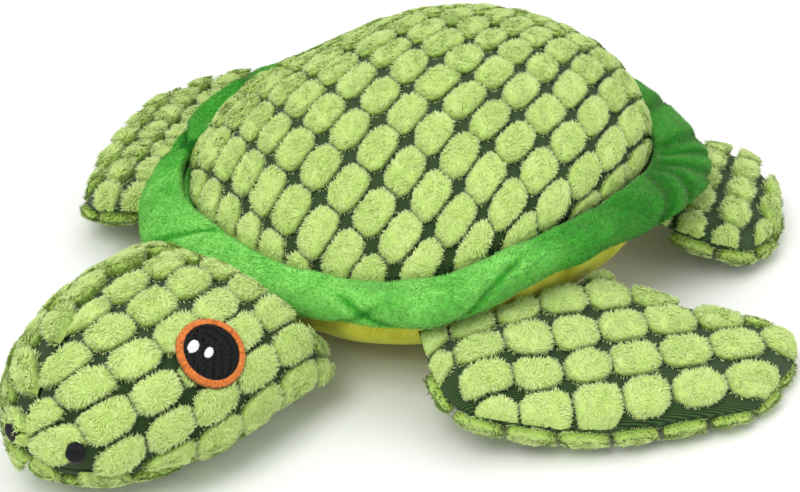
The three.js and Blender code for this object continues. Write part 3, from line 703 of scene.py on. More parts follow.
# tuft pile colours: the root and low colours are painted shade deep in the pile, the last (edge) colour a painted pale
# sheen at the tufts' sides
M_TUFT = pile_material("tuft_pile", srgb("#68882f"), srgb("#99ba50"), srgb("#bfd97a"), srgb("#d5e898"), srgb("#dfe9b6"))
M_BACK = backing_material()
M_RIM = short_pile_material("rim_plush", srgb("#1c6f18"), srgb("#44a733"), srgb("#8ad867"), 12)
M_BELLY = short_pile_material("belly_plush", srgb("#9a9a22"), srgb("#cbcc3e"), srgb("#dfe05c"), 40)
M_ORANGE = thread_material("orange_thread", srgb("#96450f"), srgb("#d0711f"), srgb("#ea9340"), 0.5)
M_BLACK = thread_material("black_thread", srgb("#020203"), srgb("#060608"), srgb("#0e0e12"), 0.5, 0.04, 0.22)
M_WHITE = thread_material("white_thread", srgb("#bfc0c8"), srgb("#e9e9ee"), srgb("#ffffff"), 0.5)

# ------------------------------------------------------------------------------------------------
# Tufts: for each a pillow of pile and the fibres that stand on it
# ------------------------------------------------------------------------------------------------
OCT = np.arange(8) * PI / 4
PROFILE = np.array([(0.90, 0.0), (0.955, 0.19), (0.985, 0.40), (1.0, 0.59), (0.985, 0.74), (0.945, 0.85), (0.87, 0.93), (0.72, 1.0), (0.52, 1.05), (0.27, 1.09), (0.0, 1.10)])


def outline(phi, cut):
    """Radius of a soft-cornered octagon with sides at 1 and its four corners cut at the given distances, cut (K, 4)."""
    d = np.ones(cut.shape[:1] + (8,))
    d[:, 1::2] = cut
    c = np.cos(phi[..., None] - OCT) / d[:, None]
    return (np.maximum(c, 0) ** 22).sum(-1) ** (-1 / 22)


def surface_frame(panel, lat, i, j, off, sgn):
    e = 0.02
    P, d = panel(*lat(i, j), off)
    Pj, _ = panel(*lat(i, j + e), off)
    Pi, _ = panel(*lat(i + e, j), off)
    Tx, Ty = unit(Pj - P), unit(Pi - P)
    N = unit(np.cross(Tx, Ty)) * sgn
    return P, d, Tx, Ty, N


def tufts(name, panel, lat, irange, jrange, outward, seed, keep=None, clear=(), height=1.0, density=1.0, low=0.35, row_gap=1.1, end_gap=0.45, least=7, boost=None, tint=0.0, round_=0.0):
    rs = np.random.default_rng(seed)
    I, J = np.meshgrid(np.arange(irange[0], irange[1] + 1), np.arange(jrange[0], jrange[1] + 1), indexing="ij")
    I, J = I.ravel().astype(float), J.ravel().astype(float)
    part = np.zeros(len(I))
    for a in (-.38, -.19, 0, .19, .38):
        for b in (-.38, -.19, 0, .19, .38):
            part += panel(*lat(I + a, J + b), PILE)[1] > 1.5
    ok = part >= least
    if keep is not None:
        ok &= keep(*panel(*lat(I, J), PILE))
    I, J = I[ok], J[ok]
    K = len(I)
    P0, d0, Tx0, Ty0, N0 = surface_frame(panel, lat, I, J, PILE, 1)
    inside = d0 > 2
    sgn = 1 if ((N0 * outward(P0)).sum(-1)[inside] > 0).mean() > 0.5 else -1
    La, Lb = lat.pj / 2, lat.pi / 2
    a_, b_ = (La - end_gap) * rs.uniform(0.97, 1.02, K), (Lb - row_gap) * rs.uniform(0.96, 1.03, K)
    cut = rs.uniform(1.05, 1.14, (K, 1)) + rs.uniform(-.05, .05, (K, 4)) - round_
    ox, oy = rs.uniform(-.3, .3, K), rs.uniform(-.2, .2, K)
    # random tone per tuft plus the panel's tint, which on the front flippers is painted light and shade
    tone_k = rs.uniform(-.08, .08, K) + tint
    H = 3.3 * height * rs.uniform(0.94, 1.06, K)
    # ---- pillow
    nphi = 32
    phi = np.arange(nphi) / nphi * 2 * PI
    R = outline(np.broadcast_to(phi, (K, nphi)), cut)
    wob = 1 + .014 * np.sin(3 * phi + rs.uniform(0, 6.3, (K, 1))) + .014 * np.sin(5 * phi + rs.uniform(0, 6.3, (K, 1))) + rs.normal(0, .01, (K, nphi))
    R = R * wob
    x = ox[:, None, None] + (R * np.cos(phi) * a_[:, None])[:, None, :] * PROFILE[None, :, 0, None]
    y = oy[:, None, None] + (R * np.sin(phi) * b_[:, None])[:, None, :] * PROFILE[None, :, 0, None]
    nr = len(PROFILE)
    ph = rs.uniform(0, 2 * PI, (8, K, 1, 1))
    bump = (np.sin(.9 * x + .5 * y + ph[0]) + np.sin(-.6 * x + 1.1 * y + ph[1]) + np.sin(1.3 * x - .9 * y + ph[2])) * .09 + rs.normal(0, .05, x.shape)
    bump[:, -1] = bump[:, -1, :1]
    h = PROFILE[None, :, 1, None] * H[:, None, None] + bump * (PROFILE[None, :, 1, None] > .3)
    P, d, Tx, Ty, N = surface_frame(panel, lat, I[:, None, None] + y / lat.pi, J[:, None, None] + x / lat.pj, PILE, sgn)
    edge = (low + (1 - low) * smooth(d / 5.0)) * (1 if boost is None else 1 + boost(P) / 3.3)
    V = P + N * (h * edge * smooth((d + .2) / 1.2) - 0.3)[..., None]
    for c, nrm, rad, drop in clear:
        q = V - c
        away = np.linalg.norm(q - (q @ nrm)[..., None] * nrm, axis=-1)
        k = np.where((q @ nrm) > -12, smooth((rad + .7 - away) / .9), 0)
        V = V - N * (k * np.minimum(drop, h * edge * 0.9))[..., None]
    base = (np.arange(K) * nr * nphi)[:, None]
    quads = (grid_quads(nr, nphi)[None] + base[:, :, None]).reshape(-1, 4)
    rr = np.arange(nr - 1)
    wrapq = np.stack([rr * nphi + nphi - 1, (rr + 1) * nphi + nphi - 1, (rr + 1) * nphi, rr * nphi], -1)
    quads = np.concatenate([quads, (wrapq[None] + base[:, :, None]).reshape(-1, 4)])
    if sgn > 0:
        quads = quads[:, ::-1]
    one = np.ones((K, 1, 1)) * np.ones((1, 1, nphi))
    # painted shade: the pillow's colour darkens low on its walls, following its height
    tipv, rimv = (.02 + .48 * PROFILE[None, :, 1, None]) * one, .6 * PROFILE[None, :, 0, None] * one
    # painted sheen: rimv grows with the pillow's radius and mixes the pale edge colour in at its sides
    tone = (0.5 + tone_k)[:, None, None] * np.ones((1, nr, nphi))
    out = [(V.reshape(-1, 3), quads, None, tipv.ravel(), tone.ravel(), rimv.ravel(), None)]

    # ---- fibres: each rises from the pillow and lies over toward its tip
    nt, ns = int((560) * density), int((270) * density)
    fp = rs.uniform(0, 2 * PI, (K, nt + ns))
    side = np.concatenate([np.zeros((K, nt), bool), np.ones((K, ns), bool)], 1)
    sh = rs.uniform(0.12, 0.95, fp.shape)                       # how high on the wall
    fr = np.where(side, np.interp(sh, PROFILE[:, 1], PROFILE[:, 0]), np.sqrt(rs.uniform(0.0, 1.0, fp.shape)) * .96)
    Rf = outline(fp, cut)
    x = ox[:, None] + Rf * np.cos(fp) * a_[:, None] * fr
    y = oy[:, None] + Rf * np.sin(fp) * b_[:, None] * fr
    hb = np.where(side, sh, np.interp(fr, PROFILE[::-1, 0], PROFILE[::-1, 1])) * H[:, None]
    P, d, Tx, Ty, N = surface_frame(panel, lat, I[:, None] + y / lat.pi, J[:, None] + x / lat.pj, PILE, sgn)
    ax, ay = np.cos(fp) / a_[:, None], np.sin(fp) / b_[:, None]
    al = np.hypot(ax, ay)
    ax, ay = ax / al, ay / al
    ph = rs.uniform(0, 2 * PI, (6, K, 1))
    kx, ky = rs.uniform(0.12, 0.42, (2, K, 1)), rs.uniform(0.12, 0.42, (2, K, 1))
    sw = 1.7 * np.sin(kx[0] * x + ky[0] * y + ph[0]) + 1.4 * np.sin(-kx[1] * x + ky[1] * y + ph[1]) + ph[2] + rs.normal(0, .38, fp.shape)
    push = np.where(side, 1.0, 1.15 * smooth((fr - .62) / .34))   # near the edge the pile leans outward
    calm = np.where(side, .45, 1 - .7 * smooth((fr - .62) / .34))
    hx, hy = ax * push + np.cos(sw) * calm, ay * push + np.sin(sw) * calm
    hl = np.maximum(np.hypot(hx, hy), .25)
    hx, hy = hx / hl, hy / hl
    z1 = np.where(side, rs.uniform(.2, .9, fp.shape), rs.uniform(.5, .9, fp.shape))
    z2 = np.where(side, rs.uniform(.2, 1.3, fp.shape), rs.uniform(.0, .34, fp.shape))
    flat = Tx * hx[..., None] + Ty * hy[..., None]
    D1, D2 = unit(flat + N * z1[..., None]), unit(flat + N * z2[..., None])
    edge = (low + (1 - low) * smooth(d / 5.0)) * (1 if boost is None else 1 + boost(P) / 3.3)
    L = np.where(side, rs.uniform(.9, 1.6, fp.shape), rs.uniform(1.7, 2.6, fp.shape)) * height * (0.55 + 0.45 * edge)
    B = P + N * (hb * edge * smooth((d + .2) / 1.2) - .3)[..., None] - D1 * .4
    # neighbours' tips lean together in small locks
    cell = 1.1
    rot = rs.uniform(0, PI, (K, 1))
    gx = (x * np.cos(rot) + y * np.sin(rot)) / cell + rs.uniform(0, 1, (K, 1))
    gy = (-x * np.sin(rot) + y * np.cos(rot)) / cell + rs.uniform(0, 1, (K, 1))
    cxi, cyi = np.floor(gx), np.floor(gy)
    hsh = lambda q: np.mod(np.sin(cxi * 127.1 + cyi * 311.7 + q + np.arange(K)[:, None] * 17.3) * 43758.5453, 1.0)
    tx, ty = cxi + .2 + .6 * hsh(1.0) - gx, cyi + .2 + .6 * hsh(2.0) - gy
    mx, my = (tx * np.cos(rot) - ty * np.sin(rot)) * cell, (tx * np.sin(rot) + ty * np.cos(rot)) * cell
    pull = np.where(side, 0.2, 0.3)
    M = B + D1 * (L * .5)[..., None]
    T = M + D2 * (L * .5)[..., None] + Tx * (mx * pull)[..., None] + Ty * (my * pull)[..., None] + N * ((hsh(3.0) - .5) * .3 * edge)[..., None]
    tone = 0.5 + tone_k[:, None] + (hsh(4.0) - .5) * .4 + rs.normal(0, .16, fp.shape)
    good = d > 0.5
    for c, nrm, rad, drop in clear:
        for q in (B - c, T - c):
            away = np.linalg.norm(q - (q @ nrm)[..., None] * nrm, axis=-1)
            good &= ~(((q @ nrm) > -12) & (away < rad + .3))
    sel = good.ravel()
    B, M, T, N, Tx, Ty = (v.reshape(-1, 3)[sel] for v in (B, M, T, N, Tx, Ty))
    fr_, tone, side_, ax, ay = fr.ravel()[sel], tone.ravel()[sel], side.ravel()[sel], ax.ravel()[sel], ay.ravel()[sel]
    n = len(B)
    r0 = rs.uniform(.17, .29, n) * 1.0
    D_ = unit(T - B)
    W = unit(np.cross(D_, N + 0.25 * rs.normal(0, 1, N.shape)))
    up_ = unit(np.cross(W, D_))
    up_ = up_ * np.sign((up_ * N).sum(-1))[:, None]
    sec = np.stack([-W * 1.0, up_ * .55, W * 1.0], 1)
    V = np.concatenate([B[:, None] + sec * r0[:, None, None], M[:, None] + sec * (r0 * .85)[:, None, None], T[:, None]], 1).reshape(-1, 3)
    # soft shading: the fibres take part of their normal from the pillow they stand on
    w = np.where(side_, .8, smooth((fr_ - .6) / .4) * .7)[:, None]
    Np = unit(N * (1.05 - w) + (Tx * ax[:, None] + Ty * ay[:, None]) * w)
    sn = unit(np.stack([-W, up_, W], 1))
    NV = np.concatenate([unit(Np[:, None] * .6 + sn * .4)] * 2 + [unit(Np * .75 + D_ * .25)[:, None]], 1).reshape(-1, 3)
    b = (np.arange(n) * 7)[:, None, None]
    qd = (np.array([[0, 1, 4, 3], [1, 2, 5, 4]])[None] + b).reshape(-1, 4)
    tr = (np.array([[3, 4, 6], [4, 5, 6]])[None] + b).reshape(-1, 3)
    # painted shade: the fibres are darker at their roots and lighter toward their tips
    tv = np.where(side_[:, None], [[.34, .34, .34, .58, .58, .58, .84]], [[.4, .4, .4, .68, .68, .68, .95]])
    # painted sheen: the rim value sets how much pale edge colour the fibres take, strongest on the tufts' side fibres
    out.append((V, qd, tr, tv.ravel(), np.repeat(tone, 7), np.repeat(np.where(side_, 1.0, .8 * fr_), 7), NV))
    nv = len(out[0][0])
    Vall = np.concatenate([o[0] for o in out])
    ob = make(name, Vall, np.concatenate([out[0][1], out[1][1] + nv]), out[1][2] + nv, M_TUFT,
              {"tip": np.concatenate([o[3] for o in out]), "tone": np.concatenate([o[4] for o in out]), "rim": np.concatenate([o[5] for o in out])}, floor=0.0006)
    me = ob.data
    nrm = np.empty(len(me.vertices) * 3, np.float32)
    me.vertices.foreach_get("normal", nrm)
    nrm = nrm.reshape(-1, 3)
    nrm[nv:] = out[1][6]
    me.normals_split_custom_set_from_vertices(nrm)
    return ob


def sheet_from_panel(name, panel, P, uv, sign, wrap=False, thick=1.3):
    ob = cloth_sheet(name, P, thick, M_BACK, wrap_u=wrap, uv=uv, sign=sign)
    return ob


# ---- shell
shell = ShellPanel()
SHELL_LAT = Lattice((27.64, -68.44), (15.6, -3.45), (-2.79, 21.03), [
    (0, -2, -0.5, 4.7), (0, -1, 2.3, -4.5), (0, 0, -0.4, -0.4), (0, 1, 1.6, -3.0), (0, 2, -2.6, 2.7), (0, 3, 2.1, 0.0),
    (-1, -2, 0.5, -3.2), (-1, -1, -0.5, 1.7), (-1, 0, -0.9, 2.7), (-1, 1, -0.8, 0.7), (-1, 2, -1.4, 1.7), (-2, -2, -3.3, 0.4),
    (-2, -1, 1.6, -0.9), (-2, 0, 0.7, 3.2), (-2, 1, 0.5, -0.7), (-2, 2, -1.0, -1.7), (-3, 0, -2.2, -2.4), (-3, 1, 1.6, -2.5),
    (-3, 2, 4.9, 2.3), (1, -1, 0.3, 0.4), (1, 0, 0.9, -1.1), (1, 1, -0.5, -1.1), (1, 2, -2.8, 1.6), (1, 3, 2.1, -1.2),
    (2, 0, 2.4, 0.8), (2, 1, -1.1, 1.3), (2, 2, -2.9, -1.6), (2, 3, 1.0, 0.2), (3, 1, 1.8, 1.2), (3, 2, -3.2, 0.2),
    (3, 3, 2.9, 0.4), (-3, 3, -6.4, 1.8), (-2, 3, 2.0, -3.2), (-1, 3, 2.0, 0.6), (4, 3, 0.9, -2.3)], sig=1.5)
th_g, t_g = np.meshgrid(np.linspace(0, 2 * PI, 181)[:-1], np.r_[0.004, np.linspace(0.02, 1.04, 56)], indexing="ij")
Pg = dome(th_g, t_g, PILE)
sg = np.array([np.interp(t_g[k], shell.t, shell.s[int(round(((th_g[k, 0] + PI) % (2 * PI)) / (2 * PI) * 240))]) for k in range(180)])
phg = np.interp((th_g + PI) % (2 * PI) - PI, shell.th, shell.phi)
shell_cloth = sheet_from_panel("shell_cover_cloth", shell, Pg, np.stack([sg * np.sin(phg), -sg * np.cos(phg)], -1), -1, wrap=True)
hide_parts("shell_cover", "shell_stuffing")
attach(shell_cloth, "body")
up = lambda P: np.broadcast_to([0.0, 0.0, 1.0], P.shape)
away = lambda c: (lambda P: P - np.array(c))


def overhang(P):
    """Extra pile where the shell bulges over the rim at the turtle's right."""
    dg = np.degrees(np.arctan2(P[..., 0], -P[..., 1]))
    r = np.hypot(P[..., 0], P[..., 1]) / foot_r(dg * D2R)
    return 2.8 * np.exp(-((dg + 80) / 26) ** 2) * smooth((r - .72) / .2)


for k, (lo_i, hi_i) in enumerate(((-12, -4), (-3, 1), (2, 12))):
    ob = tufts(f"shell_tufts_{'abc'[k]}", shell, SHELL_LAT, (lo_i, hi_i), (-10, 12), away((0, 10, 20)), 11 + k, boost=overhang)
    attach(ob, "body")

# ---- rim
nth, nu = 540, 40
th_g, u_g = np.meshgrid(np.arange(nth) / nth * 2 * PI - PI, np.linspace(-PI + 0.16, PI - 0.16, nu), indexing="ij")


def rim_shape(th, u, off=0.0):
    """The stuffed rim with its folds: returns points and how deep in a fold each lies, which darkens the creases as
    painted shade.
    """
    P = rim(th, u, off)
    e = 1e-3
    N = unit(np.cross(rim(th + e, u, off) - P, rim(th, u + e, off) - P))
    C = rim(th, u * 0, off) * 0.5 + rim(th, u * 0 + PI, off) * 0.5
    N = N * np.sign(((P - C) * N).sum(-1))[..., None]
    dg = th / D2R
    top = smooth((np.sin(u) + 0.55) / 1.1)
    h = np.zeros_like(th)
    crease_shade = np.zeros_like(th)

    def crease(at, width, depth, skew=0.0, lo=-4.0, hi=4.0):
        nonlocal h, crease_shade
        w = (dg - at - skew * (u - 1.2)) / width
        k = np.exp(-w * w) * smooth((u - lo) / .5) * smooth((hi - u) / .5)
        h = h - depth * k
        # painted shade: the crease's colour darkens with its depth
        crease_shade = crease_shade + k * min(depth / 1.6, 1)
    # where the fat front roll overlaps the flat band at the turtle's right, with a painted shade line along the overlap
    w = dg + 49 + 5 * (u - 1.0)
    band = smooth(-w / 1.6) * smooth((w + 40) / 26)
    h = h - 3.0 * band * top
    crease_shade = crease_shade + 1.2 * np.exp(-((w + 0.8) / 1.0) ** 2) * top
    crease(-64, 2.6, 1.7, 6, -.5, 3)
    crease(-20, 1.3, 1.0, 5, -.2, 3)
    crease(30, 1.7, 1.1, -6, -.6, 2)
    crease(34.5, 1.2, 0.8, 5, -.6, 1.6)
    crease(61, 2.2, .9, 7, -1.2, 2.2)
    for a, wd, dp, sk in ((112, 2.0, 1.6, 4), (119, 1.6, 1.9, 2), (126, 1.8, 1.9, -2), (133, 1.5, 1.5, -3), (140, 1.9, 1.2, -5)):
        crease(a, wd, dp, sk, -1.0, 2.9)
    for a, wd, dp, sk in ((-95, 2.4, 1.0, 5), (-122, 2.2, 1.3, -3), (-131, 1.8, 1.1, 2), (-150, 2.5, 1.0, 4), (168, 2.2, 1.1, 3), (155, 1.8, 1.3, -4), (178, 2.0, .9, 3)):
        crease(a, wd, dp, sk, -1.2, 2.9)
    # the inner side presses into the pile of the shell
    er = vec(np.sin(th), -np.cos(th), 0 * th)
    inner = smooth((-(N * er).sum(-1) - .05) / .6)
    h = h * (1 - inner) + 2.8 * inner
    # little stuffing at the far side, where the shell hangs over it
    h = h - 2.4 * smooth((dg + 162) / 22) * smooth((-98 - dg) / 16)
    # soft waves of the stuffing
    h = h + 0.45 * np.sin(9 * th + 1.3 * u) + 0.35 * np.sin(17 * th - 2.1 * u + 1) + 0.22 * np.sin(31 * th + 2.9 * u + 2)
    return P + N * (h * smooth((np.abs(np.abs(u) - PI)) / .7))[..., None], np.clip(crease_shade, 0, 1), N


Pr, rim_crease_shade, Nr = rim_shape(th_g, u_g, 0.6)
arc_u = np.concatenate([np.zeros((nth, 1)), np.cumsum(np.linalg.norm(np.diff(Pr, axis=1), axis=2), 1)], 1)
uvr = np.stack([th_g * 105.0, arc_u], -1)
# painted light and shade along the rim: the colour is lifted at the front (about -18° to 30°) and darkened at the
# turtle's left side (about 86° to 135°) and toward the back
rim_painted_light = np.interp(th_g / D2R, [-180, -120, -95, -72, -60, -46, -32, -18, 30, 50, 70, 86, 105, 135, 180], [-.22, -.28, -.26, -.22, -.1, .02, .16, .3, .3, .2, .1, -.34, -.42, -.34, -.22])
rim_ob = cloth_sheet("rim_cover_plush", Pr, 1.6, M_RIM, wrap_u=True, uv=uvr, sign=1, attrs={"crease_shade": rim_crease_shade, "rim_painted_light": rim_painted_light})
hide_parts("rim_cover", "rim_stuffing")
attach(rim_ob, "body")


def nap(name, P, N, T, count, mat, seed, length=1.15, extra=None, slot=None, rim_painted_light=None):
    """Short fibres over a surface grid. T is the way the nap lies."""
    rs = np.random.default_rng(seed)
    nu_, nv_ = P.shape[:2]
    a = np.linalg.norm(np.cross(np.roll(P, -1, 0)[:, :-1] - P[:, :-1], P[:, 1:] - P[:, :-1]), axis=-1)
    a[-1] = a[-1] if np.linalg.norm(P[0, 0] - P[-1, 0]) < 6 else 0
    pick = rs.choice(a.size, count, p=a.ravel() / a.sum())
    i, j = pick // (nv_ - 1), pick % (nv_ - 1)
    fi, fj = rs.uniform(0, 1, (count, 1)), rs.uniform(0, 1, (count, 1))
    i2 = (i + 1) % nu_
    lerp = lambda G: (G[i, j] * (1 - fi) + G[i2, j] * fi) * (1 - fj) + (G[i, j + 1] * (1 - fi) + G[i2, j + 1] * fi) * fj
    B, n, t = lerp(P), unit(lerp(N)), unit(lerp(T))
    s = unit(np.cross(n, t))
    wob = 1.4 * np.sin(B[:, 0] * .16 + 2 * np.sin(B[:, 1] * .11)) + 1.1 * np.sin(B[:, 2] * .35 + B[:, 1] * .13)
    dirv = unit(n * rs.uniform(.35, .9, (count, 1)) + t * (np.cos(wob * .5) * .9)[:, None] + s * (np.sin(wob * .5) * .9 + rs.normal(0, .3, count))[:, None])
    L = rs.uniform(.7, 1.3, count) * length
    Tp = B + dirv * L[:, None]
    r = .17 * np.ones(count)
    a1 = unit(np.cross(dirv, n)) * r[:, None]
    V = np.stack([B - a1 - n * .15, B + a1 - n * .15, B + n * .18 + dirv * .1, Tp], 1).reshape(-1, 3)
    b = (np.arange(count) * 4)[:, None, None]
    tr = (np.array([[0, 1, 3], [1, 2, 3], [2, 0, 3]])[None] + b).reshape(-1, 3)
    # painted shade of the rim's creases carried onto its fibres, plus a random tone that lightens them a little on
    # average
    at = {"crease_shade": np.repeat((lerp(extra[..., None])[:, 0] if extra is not None else np.zeros(count)) + rs.normal(-.15, .2, count), 4)}
    if rim_painted_light is not None:
        at["rim_painted_light"] = np.repeat(lerp(rim_painted_light[..., None])[:, 0], 4)
    uv = np.repeat(np.stack([B[:, 0] + B[:, 2] * .4, B[:, 1] + B[:, 2] * .7], -1), 4, 0)
    ob = make(name, V, None, tr, mat, at, uv)
    return ob


Tr = unit(np.roll(Pr, -1, 0) - Pr)
rim_nap = nap("rim_nap", Pr, grid_normals(Pr, True), Tr, 65000, M_RIM, 5, 1.2, rim_crease_shade, "rim_plush", rim_painted_light)
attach(rim_nap, "body")

# ---- belly
nth, nt = 300, 44
th_g, t_g = np.meshgrid(np.arange(nth) / nth * 2 * PI, np.linspace(0.01, 1, nt), indexing="ij")
Pb = belly(th_g, t_g, 0.5)
Nb = grid_normals(Pb, True)
Nb = Nb * (1 if (Nb[:, nt // 2, 2] < 0).mean() > .5 else -1)
wr = (0.5 * np.sin(23 * th_g + 3 * t_g) + 0.4 * np.sin(41 * th_g + 1) + .3 * np.sin(11 * th_g + 2)) * smooth((t_g - .72) / .28)
Pb = Pb + Nb * wr[..., None]
uvb = np.stack([Pb[..., 0], Pb[..., 1]], -1)
# painted shade: where the belly's wrinkles dip inward, their colour is darkened
belly_ob = cloth_sheet("belly_panel_plush", Pb, 1.5, M_BELLY, wrap_u=True, uv=uvb, sign=(1 if (grid_normals(Pb, True)[:, nt // 2, 2] < 0).mean() > .5 else -1),
                       attrs={"crease_shade": np.clip(-wr, 0, 1) * .5}, floor=0.0)
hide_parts("belly_panel", "belly_stuffing")
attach(belly_ob, "body")

# ---- eyes' and nostrils' places, so that the pile is laid flat under them
eyes = {}
for side, sx in (("left", 1), ("right", -1)):
    if sx > 0:
        c = head_hit(head_world(EYE_AT[0], EYE_AT[1] - HEAD["y0"], 90), np.array([0, 0, -1.0]), 90)[0]
    else:
        c = head(np.array(RIGHT_EYE[0]), np.array(RIGHT_EYE[1] * D2R))
    n = head_normal(c)
    on = head_world(NOSTRIL_AT[side][0], LEN - 20, NOSTRIL_AT[side][1])
    dn = np.array([-math.sin(TURN), math.cos(TURN), 0])
    cn = head_hit(on, dn, 60)[0]
    eyes[side] = (c, n, cn, head_normal(cn), sx)

# ---- head
HEAD_LAT = Lattice((67.96, -3.33), (-2.01, 15.17), (-19.82, 1.96), [
    (0, -2, -6.2, -2.1), (0, -1, -0.7, -0.7), (0, 0, 1.6, 2.1), (0, 1, 2.1, -0.7), (0, 2, -1.7, -0.4), (1, -2, 5.1, -0.3),
    (1, -1, 1.7, 0.7), (1, 1, -4.3, 0.8), (1, 2, 0.2, 0.4), (2, -2, -4.7, -0.8), (2, -1, -0.7, -0.6), (2, 1, 0.6, -0.4),
    (3, -1, -0.5, 0.8), (3, 0, 2.9, -2.4), (3, 1, 5.0, -1.5), (3, 2, -0.3, -1.5), (-1, -1, 1.3, 1.9), (1, -3, 2.7, 0.4),
    (4, 1, -3.4, -1.0), (4, 0, -2.6, 6.4)], sig=1.5)
HEAD_LAT_R = Lattice((64.0, 0.6), (-2.01, 15.17), (-19.82, 1.5))
CHIN_LAT = Lattice((58.0, 0.0), (0.6, 15.0), (-19.8, 0.5))
head_away = lambda P: P - head_world(0 * P[..., 0], np.clip((P[..., 1] - HEAD["y0"]), LEN + 30, 0), 20 + 0 * P[..., 0])
head_panels = {"head_left_panel": (HeadPanel(CHIN[1] - 360, TOP_SEAM, 24, 1), HEAD_LAT), "head_right_panel": (HeadPanel(TOP_SEAM, CHIN[0], 196, -1), HEAD_LAT_R),
               "chin_panel": (HeadPanel(CHIN[0], CHIN[1], 290, 1), CHIN_LAT)}
for k, (pname, (pan, lat)) in enumerate(head_panels.items()):
    g = 0.4 / 45
    tg, ug = np.meshgrid(1 - (1 - np.linspace(0, 1, 70)) ** 1.6, np.linspace(pan.u0 + g, pan.u1 - g, 60), indexing="ij")
    tg = np.minimum(tg, 0.9995)
    Ph = head(tg, ug, PILE)
    # a shallow groove where the panels are sewn together
    Nh = grid_normals(Ph)
    sgn = 1 if ((Nh * head_away(Ph)).sum(-1) > 0).mean() > .5 else -1
    e = np.minimum(ug - pan.u0, pan.u1 - ug) * 40
    Ph = Ph - Nh * sgn * (1.6 * np.exp(-(e / 2.2) ** 2))[..., None]
    arc = np.concatenate([np.zeros((70, 1)), np.cumsum(np.linalg.norm(np.diff(Ph, axis=1), axis=2), 1)], 1)
    s = np.interp(tg, pan.t, pan.s)
    ob = sheet_from_panel(pname + "_cloth", pan, Ph, np.stack([s, arc], -1), sgn)
    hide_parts(pname, *(["head_stuffing"] if k == 0 else []))
    clr = []
    for side, (c, n, cn, nn, sx) in eyes.items():
        clr += [(c, n, EYE_R - .5, 3.6), (cn, nn, NOSTRIL_R if sx > 0 else 2.0, 3.2)]
    keep = None
    tf = tufts(pname.replace("_panel", "") + "_tufts", pan, lat, (-5, 7), (-5, 5), head_away, 31 + k, clear=clr, low=(0.6, 1.0, 0.75)[k],
               height=(1.08, 1.35, 1.1)[k], row_gap=(1.1, 1.5, 1.1)[k], end_gap=(.45, 1.3, .6)[k], tint=.03)
    for o in (ob, tf):
        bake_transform(o)

# ---- flippers
FL = ((115.69, -86.11), (-12.96, 9.62), (8.83, 19.26))
FL_BUMPS = [
    (0, 2, -0.3, 1.8), (0, 3, -2.2, -2.4), (0, 4, 0.1, -3.4), (0, 5, 0.2, 0.9), (1, 0, -2.5, -2.7), (1, 1, 1.5, 4.9),
    (1, 2, 0.3, -0.4), (1, 3, 1.5, -0.7), (1, 4, 2.9, -0.7), (1, 5, 2.1, 2.9), (2, 0, -1.5, 3.4), (2, 1, -0.3, -4.6),
    (2, 2, -0.1, -0.2), (2, 3, -2.2, 4.7), (2, 4, -2.2, 0.1), (2, 5, -1.2, -0.2), (3, 0, 4.4, 1.6), (3, 1, -0.3, -3.3),
    (3, 2, 1.2, 1.4), (3, 3, -1.3, -2.9)]
mir = lambda v: (-v[0], v[1])
flippers = {
    "front_left_flipper": (Flipper(FRONT_LEFT, 1, 0), Lattice(*FL, FL_BUMPS, 1.5, [(0, 0, -4.8, 3.6), (0, 1, -1.9, 1.4), (1, 0, -2.0, 1.5)]), Lattice((118, -70), FL[1], FL[2]), (41, 97)),
    "front_right_flipper": (Flipper(FRONT, -1, SWEEP_RIGHT), Lattice((-97.3, -80.0), (12.6, 5.6), (-9.2, 18.0)), Lattice((-104, -70), (13.6, 6.6), (-9.2, 18.0)), (46, 103)),
    "rear_left_flipper": (Flipper(REAR, 1, 0), Lattice((99.5, 86.0), (12.6, 7.8), (-8.3, 17.0)), Lattice((95, 90), (12.6, 7.8), (-8.3, 17.6)), (122, 160)),
    "rear_right_flipper": (Flipper(REAR, -1, 0), Lattice((-98.6, 88.0), (-13.4, 8.3), (8.3, 17.6)), Lattice((-93, 93), (-12.6, 7.8), (8.3, 17.6)), (122, 160)),
}
